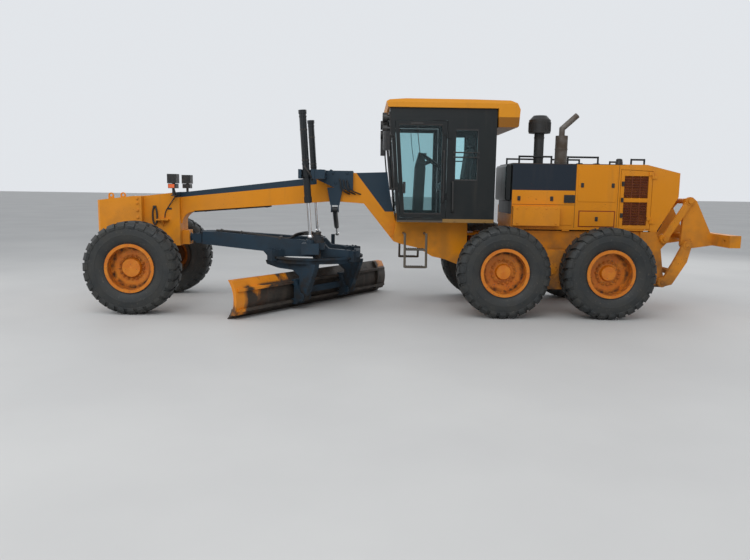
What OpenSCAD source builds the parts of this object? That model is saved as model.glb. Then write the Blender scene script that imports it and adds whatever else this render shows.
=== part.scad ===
// Motor grader with six driven wheels: a front frame with its gooseneck beam,
// nose, cab and blade gear, and a rear frame with the engine, hinged together.
// Millimetres. +X is forward, +Y is the machine's left, +Z is up, Z = 0 is the ground.
// Places along the machine are given from the front axle, forward positive.

/* [Layout] */
// Front axle back to the rear face of the ripper's cross beam
overall_back = 8885; // [8860:5:8900]
// Front axle to the middle of the tandem
wheelbase = 6160; // [6120:10:6200]
// Middle wheel to rear wheel
tandem_spacing = 1540; // [1500:10:1570]
// Middle plane of a left wheel to that of a right wheel
track = 2040; // [2020:5:2060]
// Front axle to the upright pin between the two frames
hitch_back = 5150; // [5130:5:5170]

/* [Wheels] */
// Tyre diameter out to the tips of the lugs
tyre_d = 1344; // [1330:2:1350]
// Tyre width over the side walls
tyre_w = 444; // [430:2:450]
// Depth of the tread lugs
lug_depth = 28; // [18:1:30]
// Tread lugs along each shoulder
lug_count = 16; // [14:1:18]
// Diameter of the bead seat
bead_d = 640; // [630:2:650]
// Diameter of the rim's outer flange
flange_d = 706; // [696:2:716]
// Rim width between the flanges' outer faces
rim_w = 372; // [360:2:380]
// Wall of the rim's barrel
rim_wall = 14; // [10:1:18]
// Thickness of the wheel disc
disc_t = 18; // [14:1:24]
// How far the front wheel's disc lies inside the rim's outer face
front_disc_in = 150; // [130:5:170]
// How far the rear wheel's disc lies inside the rim's outer face
rear_disc_in = 170; // [150:5:190]
// Diameter of the hub's drum behind the disc
hub_d = 420; // [380:5:440]
// Diameter of the stub that carries each wheel
stub_d = 150; // [130:2:160]

/* [Front frame] */
// Width of the gooseneck beam
beam_w = 300; // [280:5:320]
// Height of the beam's top face at its front end
beam_top_front = 1750; // [1730:5:1760]
// Height of the beam's top face where it meets the arch
beam_top_rear = 2050; // [2030:5:2070]
// Depth of the beam at its front end
beam_depth_front = 300; // [280:5:320]
// Depth of the beam where it meets the arch
beam_depth_rear = 400; // [380:5:420]
// Front axle back to the start of the beam
beam_front_back = 520; // [500:5:540]
// Front axle back to where the beam meets the arch
beam_rear_back = 2890; // [2870:5:2910]
// Width of the nose casting behind the push block
nose_w = 480; // [440:5:520]
// Width of the frame below the cab
belly_w = 700; // [660:5:720]
// Thickness of the frame's side plates and hitch plates
plate_t = 40; // [30:1:50]
// Diameter of the upright hitch pins
hitch_pin_d = 110; // [90:2:120]

/* [Push block] */
// Width of the push block on the nose
block_w = 720; // [680:5:740]
// Height of its underside
block_bottom = 1060; // [1050:5:1080]
// Height of its front edge's top
block_top_front = 1620; // [1600:5:1640]
// Height of its top where it meets the nose
block_top_rear = 1690; // [1670:5:1700]
// Front axle forward to its front face
block_front = 750; // [730:5:770]
// Front axle forward to its bolted flange
block_back = 190; // [180:5:200]
// Thickness of the bolted flange
flange_t = 120; // [100:5:130]

/* [Front axle] */
// Height of the pins on which the wheels lean
lean_pin_z = 520; // [500:5:540]
// Middle of the machine to a lean pin
lean_pin_y = 640; // [620:5:650]
// Diameter of a lean pin
lean_pin_d = 90; // [80:2:100]
// Middle of the machine to a kingpin
kingpin_y = 830; // [815:5:840]
// Diameter of a kingpin
kingpin_d = 70; // [60:2:80]
// Axle beam, front face to back face
axle_w = 200; // [180:5:220]
// Depth of the axle beam at its ends
axle_depth = 200; // [180:5:220]

/* [Drawbar and circle] */
// Front axle back to the drawbar's ball
ball_back = 560; // [550:5:570]
// Height of the drawbar's ball
ball_z = 1050; // [1030:5:1070]
// Diameter of the drawbar's ball
ball_d = 150; // [130:2:160]
// Front axle back to the circle's middle
circle_back = 2570; // [2550:5:2590]
// Outside diameter of the circle
circle_d = 1524; // [1500:4:1540]
// Height of the circle's upper face
circle_top = 800; // [795:1:810]
// Depth of the circle's ring
circle_h = 90; // [80:2:100]
// Radial thickness of the circle's ring
circle_wall = 90; // [80:2:100]
// Teeth round the inside of the circle
tooth_count = 64; // [56:4:72]
// Circle's middle to the middle of its drive's pinion
drive_r = 583; // [570:1:586]
// Height of those teeth
tooth_depth = 26; // [20:1:30]
// Height of the drawbar's girders
drawbar_h = 200; // [180:5:210]
// Width of each drawbar girder
drawbar_w = 150; // [130:5:160]

/* [Blade] */
// Length of the blade
blade_l = 3660; // [3600:10:3700]
// Height of the blade along its curve
blade_h = 610; // [600:5:620]
// Thickness of the moldboard plate
blade_t = 22; // [18:1:26]
// Radius of the blade's hollow face
blade_r_arc = 415; // [400:5:440]
// Angle by which the left end of the blade points forward
blade_turn = 36; // [34:1:40]
// How far the blade stands forward of its arms' middle plane
blade_fwd = 57; // [40:1:70]
// Sideways offset of the blade on its carrier, towards its left end
blade_shift = -9.1; // [-90:0.1:60]
// Height of the bolted cutting edge
edge_h = 150; // [140:5:160]
// Thickness of the cutting edge
edge_t = 20; // [16:1:24]
// Middle of the circle to each blade arm, along the blade
arm_gap = 560; // [540:5:580]

/* [Blade lift] */
// Middle of the machine to a lift cylinder
lift_y = 760; // [750:5:780]
// Height of the lift cylinders' trunnions
trunnion_z = 2060; // [2040:5:2080]
// Outside diameter of a lift cylinder
lift_tube_d = 104; // [96:2:110]
// Length of a lift cylinder's tube
lift_tube_l = 1310; // [1290:5:1330]
// Diameter of a lift rod
lift_rod_d = 50; // [44:2:56]
// Trunnion up to the tube's capped top
lift_tube_up = 900; // [880:5:920]
// Front axle back to the side shift cylinder
shift_back = 2890; // [2860:5:2920]
// Height of the side shift cylinder's pin on the saddle
shift_z = 1520; // [1500:5:1540]
// Length of its tube from that pin
shift_tube_l = 745; // [730:5:760]
// Height of the lift rods' ball joints on the drawbar
lift_foot_z = 1130; // [1110:5:1150]

/* [Cab] */
// Width of the cab's body
cab_w = 1400; // [1380:5:1410]
// Thickness of the cab's walls and doors
cab_wall = 45; // [40:1:50]
// Height of the cab's underside
cab_bottom = 1365; // [1360:1:1370]
// Height of the top of the cab's walls
cab_top = 3040; // [3030:2:3050]
// Front axle back to the foot of the windscreen
cab_front_back = 3840; // [3830:5:3850]
// How far the windscreen's top leans forward of its foot
cab_lean = 130; // [110:5:140]
// Front axle back to the cab's rear wall
cab_rear_back = 5290; // [5280:5:5300]
// Front edge of the door opening, from the front axle
door_front_back = 3885; // [3870:5:3890]
// Rear edge of the door opening, from the front axle
door_rear_back = 4560; // [4540:5:4580]
// Thickness of the roof over the cab's walls
roof_h = 140; // [130:2:150]
// How far the roof's rear box hangs below the top of the walls
roof_box_h = 268; // [250:2:280]
// Width of the roof
roof_w = 1500; // [1480:5:1520]
// Thickness of the window panes
glass_t = 6; // [5:1:8]

/* [Rear frame and hood] */
// Width over the rear frame's rails
rail_w = 900; // [880:5:920]
// Width of each rail's web
rail_t = 70; // [60:2:80]
// Height of the rails' underside
rail_bottom = 970; // [960:5:980]
// Height of the rails' top
rail_top = 1250; // [1240:2:1262]
// Width of the hood
hood_w = 990; // [970:5:1000]
// Height of the hood's underside
hood_bottom = 1270; // [1264:1:1280]
// Height of the hood's roof
hood_top = 2270; // [2250:5:2290]
// Thickness of the hood's sheet panels
hood_t = 30; // [24:1:36]
// Distance between the slats of the grilles
slat_pitch = 40; // [36:1:60]
// Front axle back to the hood's front
hood_front_back = 5590; // [5580:5:5600]
// Front axle back to the hood's rear
hood_rear_back = 8150; // [8130:5:8160]
// Front axle back to where the hood's roof starts to slope
hood_slope_back = 7640; // [7600:5:7680]
// Front axle back to where the hood's slanted tail meets its lower edge
hood_tail_back = 7850; // [7820:5:7860]
// Height at which the hood's tail starts to slant
hood_tail_z = 1790; // [1760:5:1820]
// Front axle back to the front of the grille doors
grille_front_back = 7250; // [7240:5:7260]
// Front axle back to the rear of the grille doors
grille_rear_back = 7730; // [7720:5:7740]

// Front axle back to the engine's front face
engine_front_back = 5800; // [5760:5:5840]
// Front axle back to the engine's rear face
engine_rear_back = 7140; // [7100:5:7160]
// Height of the engine's top
engine_top = 1900; // [1860:5:1940]

/* [Tandem] */
// Width of a tandem case
case_w = 170; // [150:5:176]
// Height of a tandem case at its middle
case_h = 610; // [580:5:620]
// Diameter of a tandem case's round ends
case_end_d = 430; // [410:5:440]
// Diameter of the rear axle housing
axle_housing_d = 320; // [300:5:340]

/* [Ripper] */
// Front axle back to the ripper's lower pin
ripper_pin_back = 7960; // [7950:5:7970]
// Height of the ripper's lower pin
ripper_pin_z = 480; // [470:5:490]
// Cross beam's front face to its rear face
ripper_beam_t = 165; // [150:5:180]
// Length of the ripper's cross beam
ripper_beam_l = 2000; // [1960:10:2040]
// Diameter of the pin holes near the ends of the cross beam
beam_hole_d = 44; // [40:2:50]
// Diameter of the ripper's cylinder
ripper_tube_d = 110; // [100:2:120]

/* [Fits] */
// Gap between pieces that are bolted or set against each other
seat_gap = 0.3; // [0.2:0.05:0.4]
// Radial gap of a turning pin in its bore
pin_gap = 0.05; // [0.03:0.01:0.08]
// Gap below the lower ball of a lift rod or of the side shift rod
rod_clear = 8; // [7:0.5:10]
// Gap between a door and its frame
door_gap = 6; // [5.5:0.5:8]

/* [Hidden] */
$fn = 48;
front_axle_x = (overall_back - block_front) / 2;
wheel_z = tyre_d / 2;
mid_back = wheelbase - tandem_spacing / 2;
rear_back = wheelbase + tandem_spacing / 2;
arch_w = beam_w + 120;
hitch_low_z = 680;
hitch_high_z = 1150;
// Places on the frame's side outline: x from the front axle, z from the ground
nose_rear_x = 40 - beam_front_back;
nose_top_z = beam_top_front + 10;
arch_rear_x = -3700;
arch_top_z = beam_top_rear + 60;
leg_top = [-3340, beam_top_rear - beam_depth_rear - 30];
leg_foot = [-3800, 1050];
belly_front = -3840;
belly_rear = -4950;
belly_top = cab_bottom - seat_gap;
roof_top = cab_top + roof_h;
roof_box_z = cab_top - roof_box_h;
ball_x = -ball_back;
lift_pin_x = ball_x - 130;

// A place along the machine, from the front axle
function at_x(x) = front_axle_x + x;

// An outline of x and z, drawn from y0 to y1
module along_y(y0, y1) {
  translate([0, y1, 0])
    rotate([90, 0, 0])
      linear_extrude(y1 - y0)
        children();
}

// The same outline on both sides of the machine, from y0 out to y1
module plates(y0, y1) {
  along_y(y0, y1) children();
  along_y(-y1, -y0) children();
}

// An outline of y and z, drawn from x0 to x1
module across_x(x0, x1) {
  translate([x0, 0, 0])
    rotate([90, 0, 90])
      linear_extrude(x1 - x0)
        children();
}

// An outline of x and z whose x is counted from the front axle
module side_outline(points) {
  translate([front_axle_x, 0])
    polygon(points);
}

module pin_y(d, x, z, y0, y1) {
  translate([x, y1, z])
    rotate([90, 0, 0])
      cylinder(h = y1 - y0, d = d);
}

module pin_x(d, y, z, x0, x1) {
  translate([x0, y, z])
    rotate([0, 90, 0])
      cylinder(h = x1 - x0, d = d);
}

// A round bar from p to q
module bar(p, q, d) {
  v = q - p;
  l = norm(v);
  translate(p)
    rotate([0, acos(v.z / l), atan2(v.y, v.x)])
      cylinder(h = l, d = d);
}

module block(x0, x1, y0, y1, z0, z1) {
  translate([x0, y0, z0])
    cube([x1 - x0, y1 - y0, z1 - z0]);
}

module both_sides() {
  children();
  mirror([0, 1, 0]) children();
}

// Front frame

module beam_outline() {
  side_outline([
    [nose_rear_x + 10, beam_top_front],
    [-beam_rear_back, beam_top_rear],
    [-beam_rear_back, beam_top_rear - beam_depth_rear],
    [nose_rear_x + 10, beam_top_front - beam_depth_front],
  ]);
}

module nose_outline() {
  side_outline([
    [block_back, block_bottom],
    [block_back, block_top_rear],
    [block_back - flange_t, block_top_rear],
    [nose_rear_x, nose_top_z],
    [nose_rear_x, 930],
    [-220, 930],
    [-170, block_bottom],
  ]);
}

module arch_outline() {
  side_outline([
    [-beam_rear_back + 10, beam_top_rear],
    [-3170, beam_top_rear + 40],
    [arch_rear_x, arch_top_z],
    [arch_rear_x - 60, 1700],
    [belly_front - 20, 1250],
    leg_foot,
    leg_top,
    [-beam_rear_back + 10, beam_top_rear - beam_depth_rear],
  ]);
}

module belly_outline() {
  side_outline([
    [belly_front, belly_top],
    leg_foot,
    [-3910, 1010],
    [-4190, 950],
    [-4410, 820],
    [-4600, 780],
    [-4890, 670],
    [belly_rear, 670],
    [belly_rear, belly_top],
  ]);
}

// The room between the belly's side plates, open below
module belly_room() {
  block(at_x(belly_rear + plate_t), at_x(belly_front - 110),
    plate_t - belly_w / 2, belly_w / 2 - plate_t, 500, belly_top - plate_t);
}

// A flat ear that carries one of the upright hitch pins
module hitch_plate(z) {
  translate([0, 0, z])
    linear_extrude(plate_t)
      difference() {
        union() {
          translate([at_x(-hitch_back), 0])
            circle(d = 2.4 * hitch_pin_d);
          polygon([
            [at_x(-hitch_back), -1.2 * hitch_pin_d],
            [at_x(belly_rear) + 10, -belly_w / 2 + 40],
            [at_x(belly_rear) + 10, belly_w / 2 - 40],
            [at_x(-hitch_back), 1.2 * hitch_pin_d],
          ]);
        }
        translate([at_x(-hitch_back), 0])
          circle(d = hitch_pin_d + 2 * pin_gap);
      }
}

// The curved web that braces the beam against the back of the nose
module nose_gusset() {
  gusset = 200;
  x = nose_rear_x;
  z = beam_top_front - beam_depth_front;
  along_y(-beam_w / 2, beam_w / 2)
    difference() {
      translate([at_x(x - gusset), z - gusset + 20])
        square([gusset + 5, gusset]);
      translate([at_x(x - gusset), z - gusset + 20])
        circle(r = gusset - 15);
    }
}

// Shelf plate with its gusset on each side of the nose
module nose_shelves() {
  out = nose_w / 2 + 95;
  z = 1320;
  both_sides() union() {
    block(at_x(-320), at_x(-130), nose_w / 2 - 5, out, z, z + 20);
    across_x(at_x(-235), at_x(-215))
      polygon([
        [nose_w / 2 - 5, z - 110],
        [nose_w / 2 - 5, z + 5],
        [out - 10, z + 5],
      ]);
  }
}

// The cup on the nose that holds the drawbar's ball
module ball_socket() {
  difference() {
    block(at_x(ball_x - 30), at_x(nose_rear_x + 5), -ball_d / 2 - 35, ball_d / 2 + 35,
      ball_z - ball_d / 2 - 35, ball_z + ball_d / 2 + 35);
    translate([at_x(ball_x), 0, ball_z])
      sphere(d = ball_d + 2 * pin_gap);
  }
}

// The ears below the nose between which the front axle is held
module axle_hangers() {
  for (x = [axle_w / 2 + seat_gap, -axle_w / 2 - seat_gap - plate_t])
    across_x(at_x(x), at_x(x + plate_t))
      polygon([
        [-190, block_bottom + 5],
        [-110, 660],
        [110, 660],
        [190, block_bottom + 5],
      ]);
}

module main_frame() {
  color("orange") union() {
    along_y(-beam_w / 2, beam_w / 2) beam_outline();
    along_y(-nose_w / 2, nose_w / 2) nose_outline();
    along_y(-arch_w / 2, arch_w / 2) arch_outline();
    difference() {
      along_y(-belly_w / 2, belly_w / 2) belly_outline();
      belly_room();
    }
    nose_gusset();
    nose_shelves();
    ball_socket();
    axle_hangers();
    hitch_plate(hitch_low_z);
    hitch_plate(hitch_high_z);
  }
}

// The block on the nose: its sides wrap the nose as a bolted flange
module push_block() {
  edge = 45;
  eye_r = 42;
  color("orange") union() {
    intersection() {
      along_y(-block_w / 2, block_w / 2)
        side_outline([
          [block_back + seat_gap, block_bottom],
          [block_front, block_bottom],
          [block_front, block_top_front],
          [block_back + seat_gap, block_top_rear],
        ]);
      linear_extrude(2000)
        side_outline([
          [block_back, -block_w / 2],
          [block_front - edge, -block_w / 2],
          [block_front, edge - block_w / 2],
          [block_front, block_w / 2 - edge],
          [block_front - edge, block_w / 2],
          [block_back, block_w / 2],
        ]);
    }
    for (side = [-1, 1])
      block(at_x(block_back - flange_t), at_x(block_back + 5),
        side > 0 ? nose_w / 2 + seat_gap : -block_w / 2,
        side > 0 ? block_w / 2 : -nose_w / 2 - seat_gap,
        1300, block_top_rear);
    // Lifting eyes on top
    plates(block_w / 2 - 110, block_w / 2 - 90)
      difference() {
        union() {
          translate([at_x(block_front - 190), block_top_front + 75])
            circle(r = eye_r);
          translate([at_x(block_front - 190) - eye_r, block_top_front])
            square([2 * eye_r, 75]);
        }
        translate([at_x(block_front - 190), block_top_front + 75])
          circle(r = eye_r / 2);
      }
  }
}

// Front axle, with its wheels' lean yokes and steering knuckles

module front_axle() {
  eye_d = 2 * lean_pin_d;
  color("orange") difference() {
    union() {
      across_x(at_x(-axle_w / 2), at_x(axle_w / 2))
        polygon([
          [-lean_pin_y, lean_pin_z - axle_depth / 2 + 10],
          [-lean_pin_y, lean_pin_z + axle_depth / 2 - 10],
          [-260, 870],
          [260, 870],
          [lean_pin_y, lean_pin_z + axle_depth / 2 - 10],
          [lean_pin_y, lean_pin_z - axle_depth / 2 + 10],
          [260, 640],
          [-260, 640],
        ]);
      both_sides()
        pin_x(eye_d, lean_pin_y, lean_pin_z, at_x(-axle_w / 2), at_x(axle_w / 2));
    }
    both_sides()
      pin_x(lean_pin_d + 2 * pin_gap, lean_pin_y, lean_pin_z,
        at_x(-axle_w), at_x(axle_w));
  }
}

// The left lean yoke: a fork on the axle's eye and a column for the kingpin
module lean_yoke() {
  ear_t = 30;
  gap = 6;
  column_d = kingpin_d + 60;
  color("orange") difference() {
    union() {
      for (x = [axle_w / 2 + gap, -axle_w / 2 - gap - ear_t])
        across_x(at_x(x), at_x(x + ear_t))
          union() {
            translate([lean_pin_y, lean_pin_z])
              circle(r = 70);
            polygon([
              [lean_pin_y - 60, lean_pin_z + 50],
              [lean_pin_y + 110, lean_pin_z + 150],
              [lean_pin_y + 110, lean_pin_z + 40],
              [lean_pin_y + 40, lean_pin_z - 50],
            ]);
          }
      pin_x(lean_pin_d, lean_pin_y, lean_pin_z,
        at_x(-axle_w / 2 - gap - ear_t + 5), at_x(axle_w / 2 + gap + ear_t - 5));
      block(at_x(-axle_w / 2 - gap - ear_t), at_x(axle_w / 2 + gap + ear_t),
        lean_pin_y + 90 + 6, lean_pin_y + 128, lean_pin_z + 45, lean_pin_z + 145);
      block(at_x(-45), at_x(45), lean_pin_y + 100, kingpin_y, 585, 759);
      translate([at_x(0), kingpin_y, 562])
        cylinder(h = 220, d = column_d);
    }
    translate([at_x(0), kingpin_y, 400])
      cylinder(h = 500, d = kingpin_d + 2 * pin_gap);
  }
}

// The left knuckle: two ears on the kingpin, and the wheel's stub
module knuckle() {
  web_y = kingpin_y + 72;
  ear_d = kingpin_d + 60;
  color("dimgray") union() {
    for (z = [788, 512]) {
      translate([at_x(0), kingpin_y, z])
        cylinder(h = 44, d = ear_d);
      block(at_x(-ear_d / 2), at_x(ear_d / 2), kingpin_y, web_y + 5, z, z + 44);
    }
    translate([at_x(0), kingpin_y, 520])
      cylinder(h = 300, d = kingpin_d);
    block(at_x(-ear_d / 2), at_x(ear_d / 2), web_y, web_y + 34, 512, 832);
    pin_y(stub_d, at_x(0), wheel_z, web_y + 20, hub_stub_end);
  }
}

hub_stub_end = track / 2 + rim_w / 2 - front_disc_in - 20;

// Wheels: each is drawn on the Y axis with its outer face towards +Y

tyre_sides = 24;
module tyre_section() {
  r = tyre_d / 2 - lug_depth - 12;
  b = bead_d / 2 / cos(180 / tyre_sides);
  w = tyre_w / 2;
  seat_w = rim_w / 2 - 38;
  polygon([
    [b, -seat_w],
    [b + 150, -w],
    [r, -w + 30],
    [r, w - 30],
    [b + 150, w],
    [b, seat_w],
  ]);
}

// Outline of a ring of lugs, in the plane of the wheel
module lug_outline(turn) {
  foot = tyre_d / 2 - lug_depth;
  corners = [[-0.34, foot], [-0.27, tyre_d / 2], [0.27, tyre_d / 2], [0.34, foot]];
  polygon([
    for (i = [0:lug_count - 1], c = corners)
      let (a = (i + turn - corners[2][0] + c[0]) * 360 / lug_count)
        c[1] * [cos(a), sin(a)]
  ]);
}

// The two rows of lugs meet at the middle of the tread, half a lug apart
module tyre() {
  lug_w = tyre_w / 2 - 26;
  color([0.2, 0.2, 0.2])
    rotate([-90, 0, 0]) union() {
      rotate_extrude($fn = tyre_sides)
        tyre_section();
      difference() {
        union() {
          linear_extrude(lug_w)
            lug_outline(0);
          translate([0, 0, -lug_w])
            linear_extrude(lug_w)
              lug_outline(0.5);
        }
        cylinder(h = 2 * tyre_w, d = tyre_d - 220, center = true, $fn = 16);
      }
    }
}

// Barrel, disc and hub drum of a wheel whose disc lies disc_in inside the outer face
module rim_section(disc_in, cap) {
  b = bead_d / 2 - seat_gap;
  f = flange_d / 2;
  w = rim_w / 2;
  d = w - disc_in;
  union() {
    polygon([
      [b - rim_wall, -w],
      [f, -w],
      [f, -w + 20],
      [b, -w + 20],
      [b, w - 20],
      [f, w - 20],
      [f, w],
      [b - rim_wall, w],
    ]);
    polygon([
      [0, d - 60],
      [hub_d / 2, d - 60],
      [hub_d / 2, d - disc_t],
      [b - 5, d - disc_t],
      [b - 5, d],
      [cap, d],
      [cap * 0.86, d + 55],
      [0, d + 60],
    ]);
  }
}

module rim(disc_in, cap) {
  color("orange") difference() {
    rotate([-90, 0, 0])
      rotate_extrude($fn = 96)
        rim_section(disc_in, cap);
    pin_y(stub_d + 2 * pin_gap, 0, 0, -rim_w, rim_w / 2 - disc_in - 18);
  }
}

module wheel_place(back, side) {
  translate([at_x(-back), side * track / 2, wheel_z])
    mirror([0, side > 0 ? 0 : 1, 0])
      children();
}

// Drawbar, circle and blade

module drawbar_ball() {
  lug_w = 84;
  color("slategray") difference() {
    union() {
      translate([at_x(ball_x), 0, ball_z])
        sphere(d = ball_d);
      bar([at_x(ball_x), 0, ball_z], [at_x(lift_pin_x), 0, ball_z], 80);
      pin_y(110, at_x(lift_pin_x), ball_z, -lug_w / 2, lug_w / 2);
    }
    pin_y(60 + 2 * pin_gap, at_x(lift_pin_x), ball_z, -lug_w, lug_w);
  }
}

// The girders run from the fork at the ball back over the circle
girder_front_x = lift_pin_x - 70;
girder_z_front = 960;
girder_z_rear = 830;
beam_cross_back = circle_back - 20;
foot_pad_z = lift_foot_z - 60;
pad_gap = seat_gap;
drawbar_rear = -circle_back - 720;

module girder_plan(side) {
  polygon([
    [at_x(girder_front_x + 20), side * 48],
    [at_x(girder_front_x - 60), side * (48 + drawbar_w)],
    [at_x(-circle_back), side * (330 + drawbar_w)],
    [at_x(drawbar_rear), side * (330 + drawbar_w)],
    [at_x(drawbar_rear), side * 330],
    [at_x(-circle_back), side * 330],
  ]);
}

module drawbar_side_outline() {
  side_outline([
    [girder_front_x + 20, girder_z_front],
    [girder_front_x + 20, girder_z_front + drawbar_h - 10],
    [-1060, girder_z_front + drawbar_h - 10],
    [-2720, girder_z_rear + drawbar_h],
    [-2810, circle_top + 130],
    [drawbar_rear, circle_top + 90],
    [drawbar_rear, circle_top + pad_gap],
    [-1850, circle_top + pad_gap],
    [-1790, girder_z_rear + 40],
  ]);
}

module drawbar() {
  color("slategray") difference() {
    drawbar_solid();
    translate([drive_at.x, drive_at.y, 0])
      cylinder(h = 2000, d = 90);
  }
}

module drawbar_solid() {
  shift_post_x = shift_foot.x + shift_ball_d / 2 + rod_clear;
  shoe_r = circle_d / 2 + 6;
  union() {
    for (side = [-1, 1]) {
      intersection() {
        linear_extrude(2000) girder_plan(side);
        along_y(-1000, 1000) drawbar_side_outline();
      }
      // Fork ear round the lift pin
      pin_y(130, at_x(lift_pin_x), ball_z,
        side > 0 ? 48 : -48 - 60, side > 0 ? 48 + 60 : -48);
      block(at_x(girder_front_x - 40), at_x(lift_pin_x),
        side > 0 ? 48 : -108, side > 0 ? 108 : -48, girder_z_front, ball_z + 60);
    }
    pin_y(60, at_x(lift_pin_x), ball_z, -100, 100);
    // Cross beam that carries the lift rods' ball joints
    block(at_x(-beam_cross_back - 130), at_x(-beam_cross_back + 130),
      -lift_y - 90, lift_y + 90, circle_top + pad_gap + 70, foot_pad_z - 40);
    block(drive_at.x - 105, drive_at.x + 60, drive_at.y - 105, drive_at.y + 105,
      circle_top + pad_gap + 130, drive_seat_z);
    block(at_x(drawbar_rear), at_x(drawbar_rear + 100), -340, 340,
      circle_top + pad_gap + 10, circle_top + 80);
    block(at_x(-1900), at_x(-1780), -230, 230,
      girder_z_rear + 10, girder_z_rear + 120);
    // Pads below the lift rods' balls
    both_sides()
      translate([at_x(-beam_cross_back), lift_y, foot_pad_z - 45])
        cylinder(h = lift_foot_z - rod_ball_d / 2 - rod_clear - foot_pad_z + 45, d = 120);
    // Swivel through which the hoses reach the circle
    translate([at_x(-circle_back), 0, foot_pad_z - 45])
      cylinder(h = 55, d = 260);
    // Outrigger with the post that the side shift rod's ball stands behind
    block(shift_post_x, shift_post_x + 60, shift_foot.y - 60, -330,
      circle_top + 40, circle_top + 100);
    block(shift_post_x, shift_post_x + 60, shift_foot.y - 50, shift_foot.y + 50,
      circle_top + 90, shift_foot.z - 10);
    for (a = [35, 145, 215, 325])
      circle_shoe(a, shoe_r);
  }
}

drive_at = [at_x(-circle_back - 80), sqrt(pow(drive_r, 2) - 6400)];
drive_seat_z = foot_pad_z - 40;

// Motor and gearbox that turn the circle; the pinion's guard hangs beside the teeth
module circle_drive() {
  color("dimgray")
    translate([drive_at.x, drive_at.y, drive_seat_z + seat_gap])
      union() {
        translate([0, 0, circle_top - 70 - drive_seat_z])
          cylinder(h = drive_seat_z - circle_top + 80, d = 88);
        cylinder(h = 24, d = 190);
        cylinder(h = 95, d = 170);
        cylinder(h = 120, d = 104);
        for (a = [45:90:315])
          rotate([0, 0, a])
            translate([80, 0, 24])
              cylinder(h = 16, d = 26, $fn = 24);
      }
}

// A shoe that hangs beside the circle and reaches under its upper flange
module circle_shoe(angle, r) {
  translate([at_x(-circle_back), 0, 0])
    rotate([0, 0, angle]) union() {
      block(r, r + 50, -80, 80, circle_top - 66, circle_top + 100);
      block(r - 40, r + 10, -80, 80, circle_top - 66, circle_top - 36);
      block(r - 240, r + 50, -80, 80, circle_top + pad_gap, circle_top + 100);
    }
}

// The circle and everything below it is drawn in the blade's own directions:
// x forward of the circle's middle, y towards the blade's left end
module blade_frame() {
  translate([at_x(-circle_back), 0, 0])
    rotate([0, 0, -blade_turn])
      children();
}

ring_flange_t = 30;
ring_web_r = circle_d / 2 - 40;
ring_in_r = circle_d / 2 - circle_wall;
tilt_pin = [blade_fwd - 300, 200];
tilt_pin_d = 80;
arm_t = 100;
arm_top = circle_top - circle_h + 5;

module arm_outline() {
  polygon([
    [510, arm_top],
    [480, arm_top - 60],
    [240, arm_top - 105],
    [tilt_pin.x + 180, arm_top - 115],
    [tilt_pin.x + 48, arm_top - 200],
    [tilt_pin.x + 48, 300],
    [tilt_pin.x + 68, tilt_pin.y + 10],
    [tilt_pin.x, tilt_pin.y - 70],
    [tilt_pin.x - 70, tilt_pin.y],
    [tilt_pin.x - 130, 330],
    [-500, arm_top - 60],
    [-510, arm_top],
  ]);
}

// Ring with its upper flange, and the two arms that reach down behind the blade
module turn_circle() {
  color("slategray")
    blade_frame() difference() {
      union() {
        difference() {
          union() {
            translate([0, 0, circle_top - ring_flange_t])
              cylinder(h = ring_flange_t, d = circle_d);
            translate([0, 0, circle_top - circle_h])
              cylinder(h = circle_h - 5, r = ring_web_r);
          }
          translate([0, 0, circle_top - circle_h - 10])
            cylinder(h = circle_h + 20, r = ring_in_r);
        }
        for (side = [-1, 1])
          along_y(side * arm_gap - arm_t / 2, side * arm_gap + arm_t / 2)
            union() {
              arm_outline();
              translate(tilt_pin)
                circle(d = 140);
            }
      }
      for (side = [-1, 1])
        pin_y(tilt_pin_d + 2 * pin_gap, tilt_pin.x, tilt_pin.y,
          side * arm_gap - arm_t, side * arm_gap + arm_t);
    }
}

// Toothed ring bolted inside the circle
module circle_teeth() {
  root = ring_in_r - seat_gap;
  corners = [[-0.32, root - 12], [-0.16, root - 12 - tooth_depth], [0.16, root - 12 - tooth_depth],
    [0.32, root - 12]];
  color("dimgray")
    blade_frame()
      translate([0, 0, circle_top - circle_h + 12])
        linear_extrude(circle_h - 42)
          difference() {
            circle(r = root, $fn = 192);
            polygon([
              for (i = [0:tooth_count - 1], c = corners)
                let (a = (i + c[0]) * 360 / tooth_count)
                  c[1] * [cos(a), sin(a)]
            ]);
          }
}

// The blade's hollow face is an arc about a line in front of it
blade_chord = 2 * blade_r_arc * sin(blade_h / blade_r_arc * 90 / PI);
blade_axis = [blade_fwd + sqrt(pow(blade_r_arc, 2) - pow(blade_chord / 2, 2)),
  blade_chord / 2];
rail_h = 40;
rail_out = 78;
rail_z = [110, 400];
rail_x = blade_axis.x - sqrt(pow(blade_r_arc + blade_t, 2) - pow(blade_chord / 2 - 130, 2));
rail_gap = seat_gap;
carrier_x = rail_x - rail_out;

// A strip of the blade's arc from radius r0 to r1, between two heights along the chord
module arc_strip(r0, r1, z0, z1) {
  intersection() {
    translate(blade_axis)
      difference() {
        circle(r = r1);
        circle(r = r0);
      }
    translate([-400, z0])
      square([400 + blade_axis.x - 100, z1 - z0]);
  }
}

// The curved plate with its two slide rails and stiffened ends
module moldboard() {
  end_w = 230;
  end_out = 60;
  color("orange")
    blade_frame()
      translate([0, blade_shift, 0])
        union() {
          along_y(-blade_l / 2, blade_l / 2)
            arc_strip(blade_r_arc, blade_r_arc + blade_t, 55, blade_chord);
          for (z = rail_z)
            block(rail_x - rail_out, rail_x + 14, 40 - blade_l / 2, blade_l / 2 - 40,
              z, z + rail_h);
          for (side = [-1, 1])
            along_y(side * (blade_l / 2 - end_w / 2) - end_w / 2,
              side * (blade_l / 2 - end_w / 2) + end_w / 2)
              arc_strip(blade_r_arc + 4, blade_r_arc + end_out, 60, blade_chord - 6);
        }
}

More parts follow.
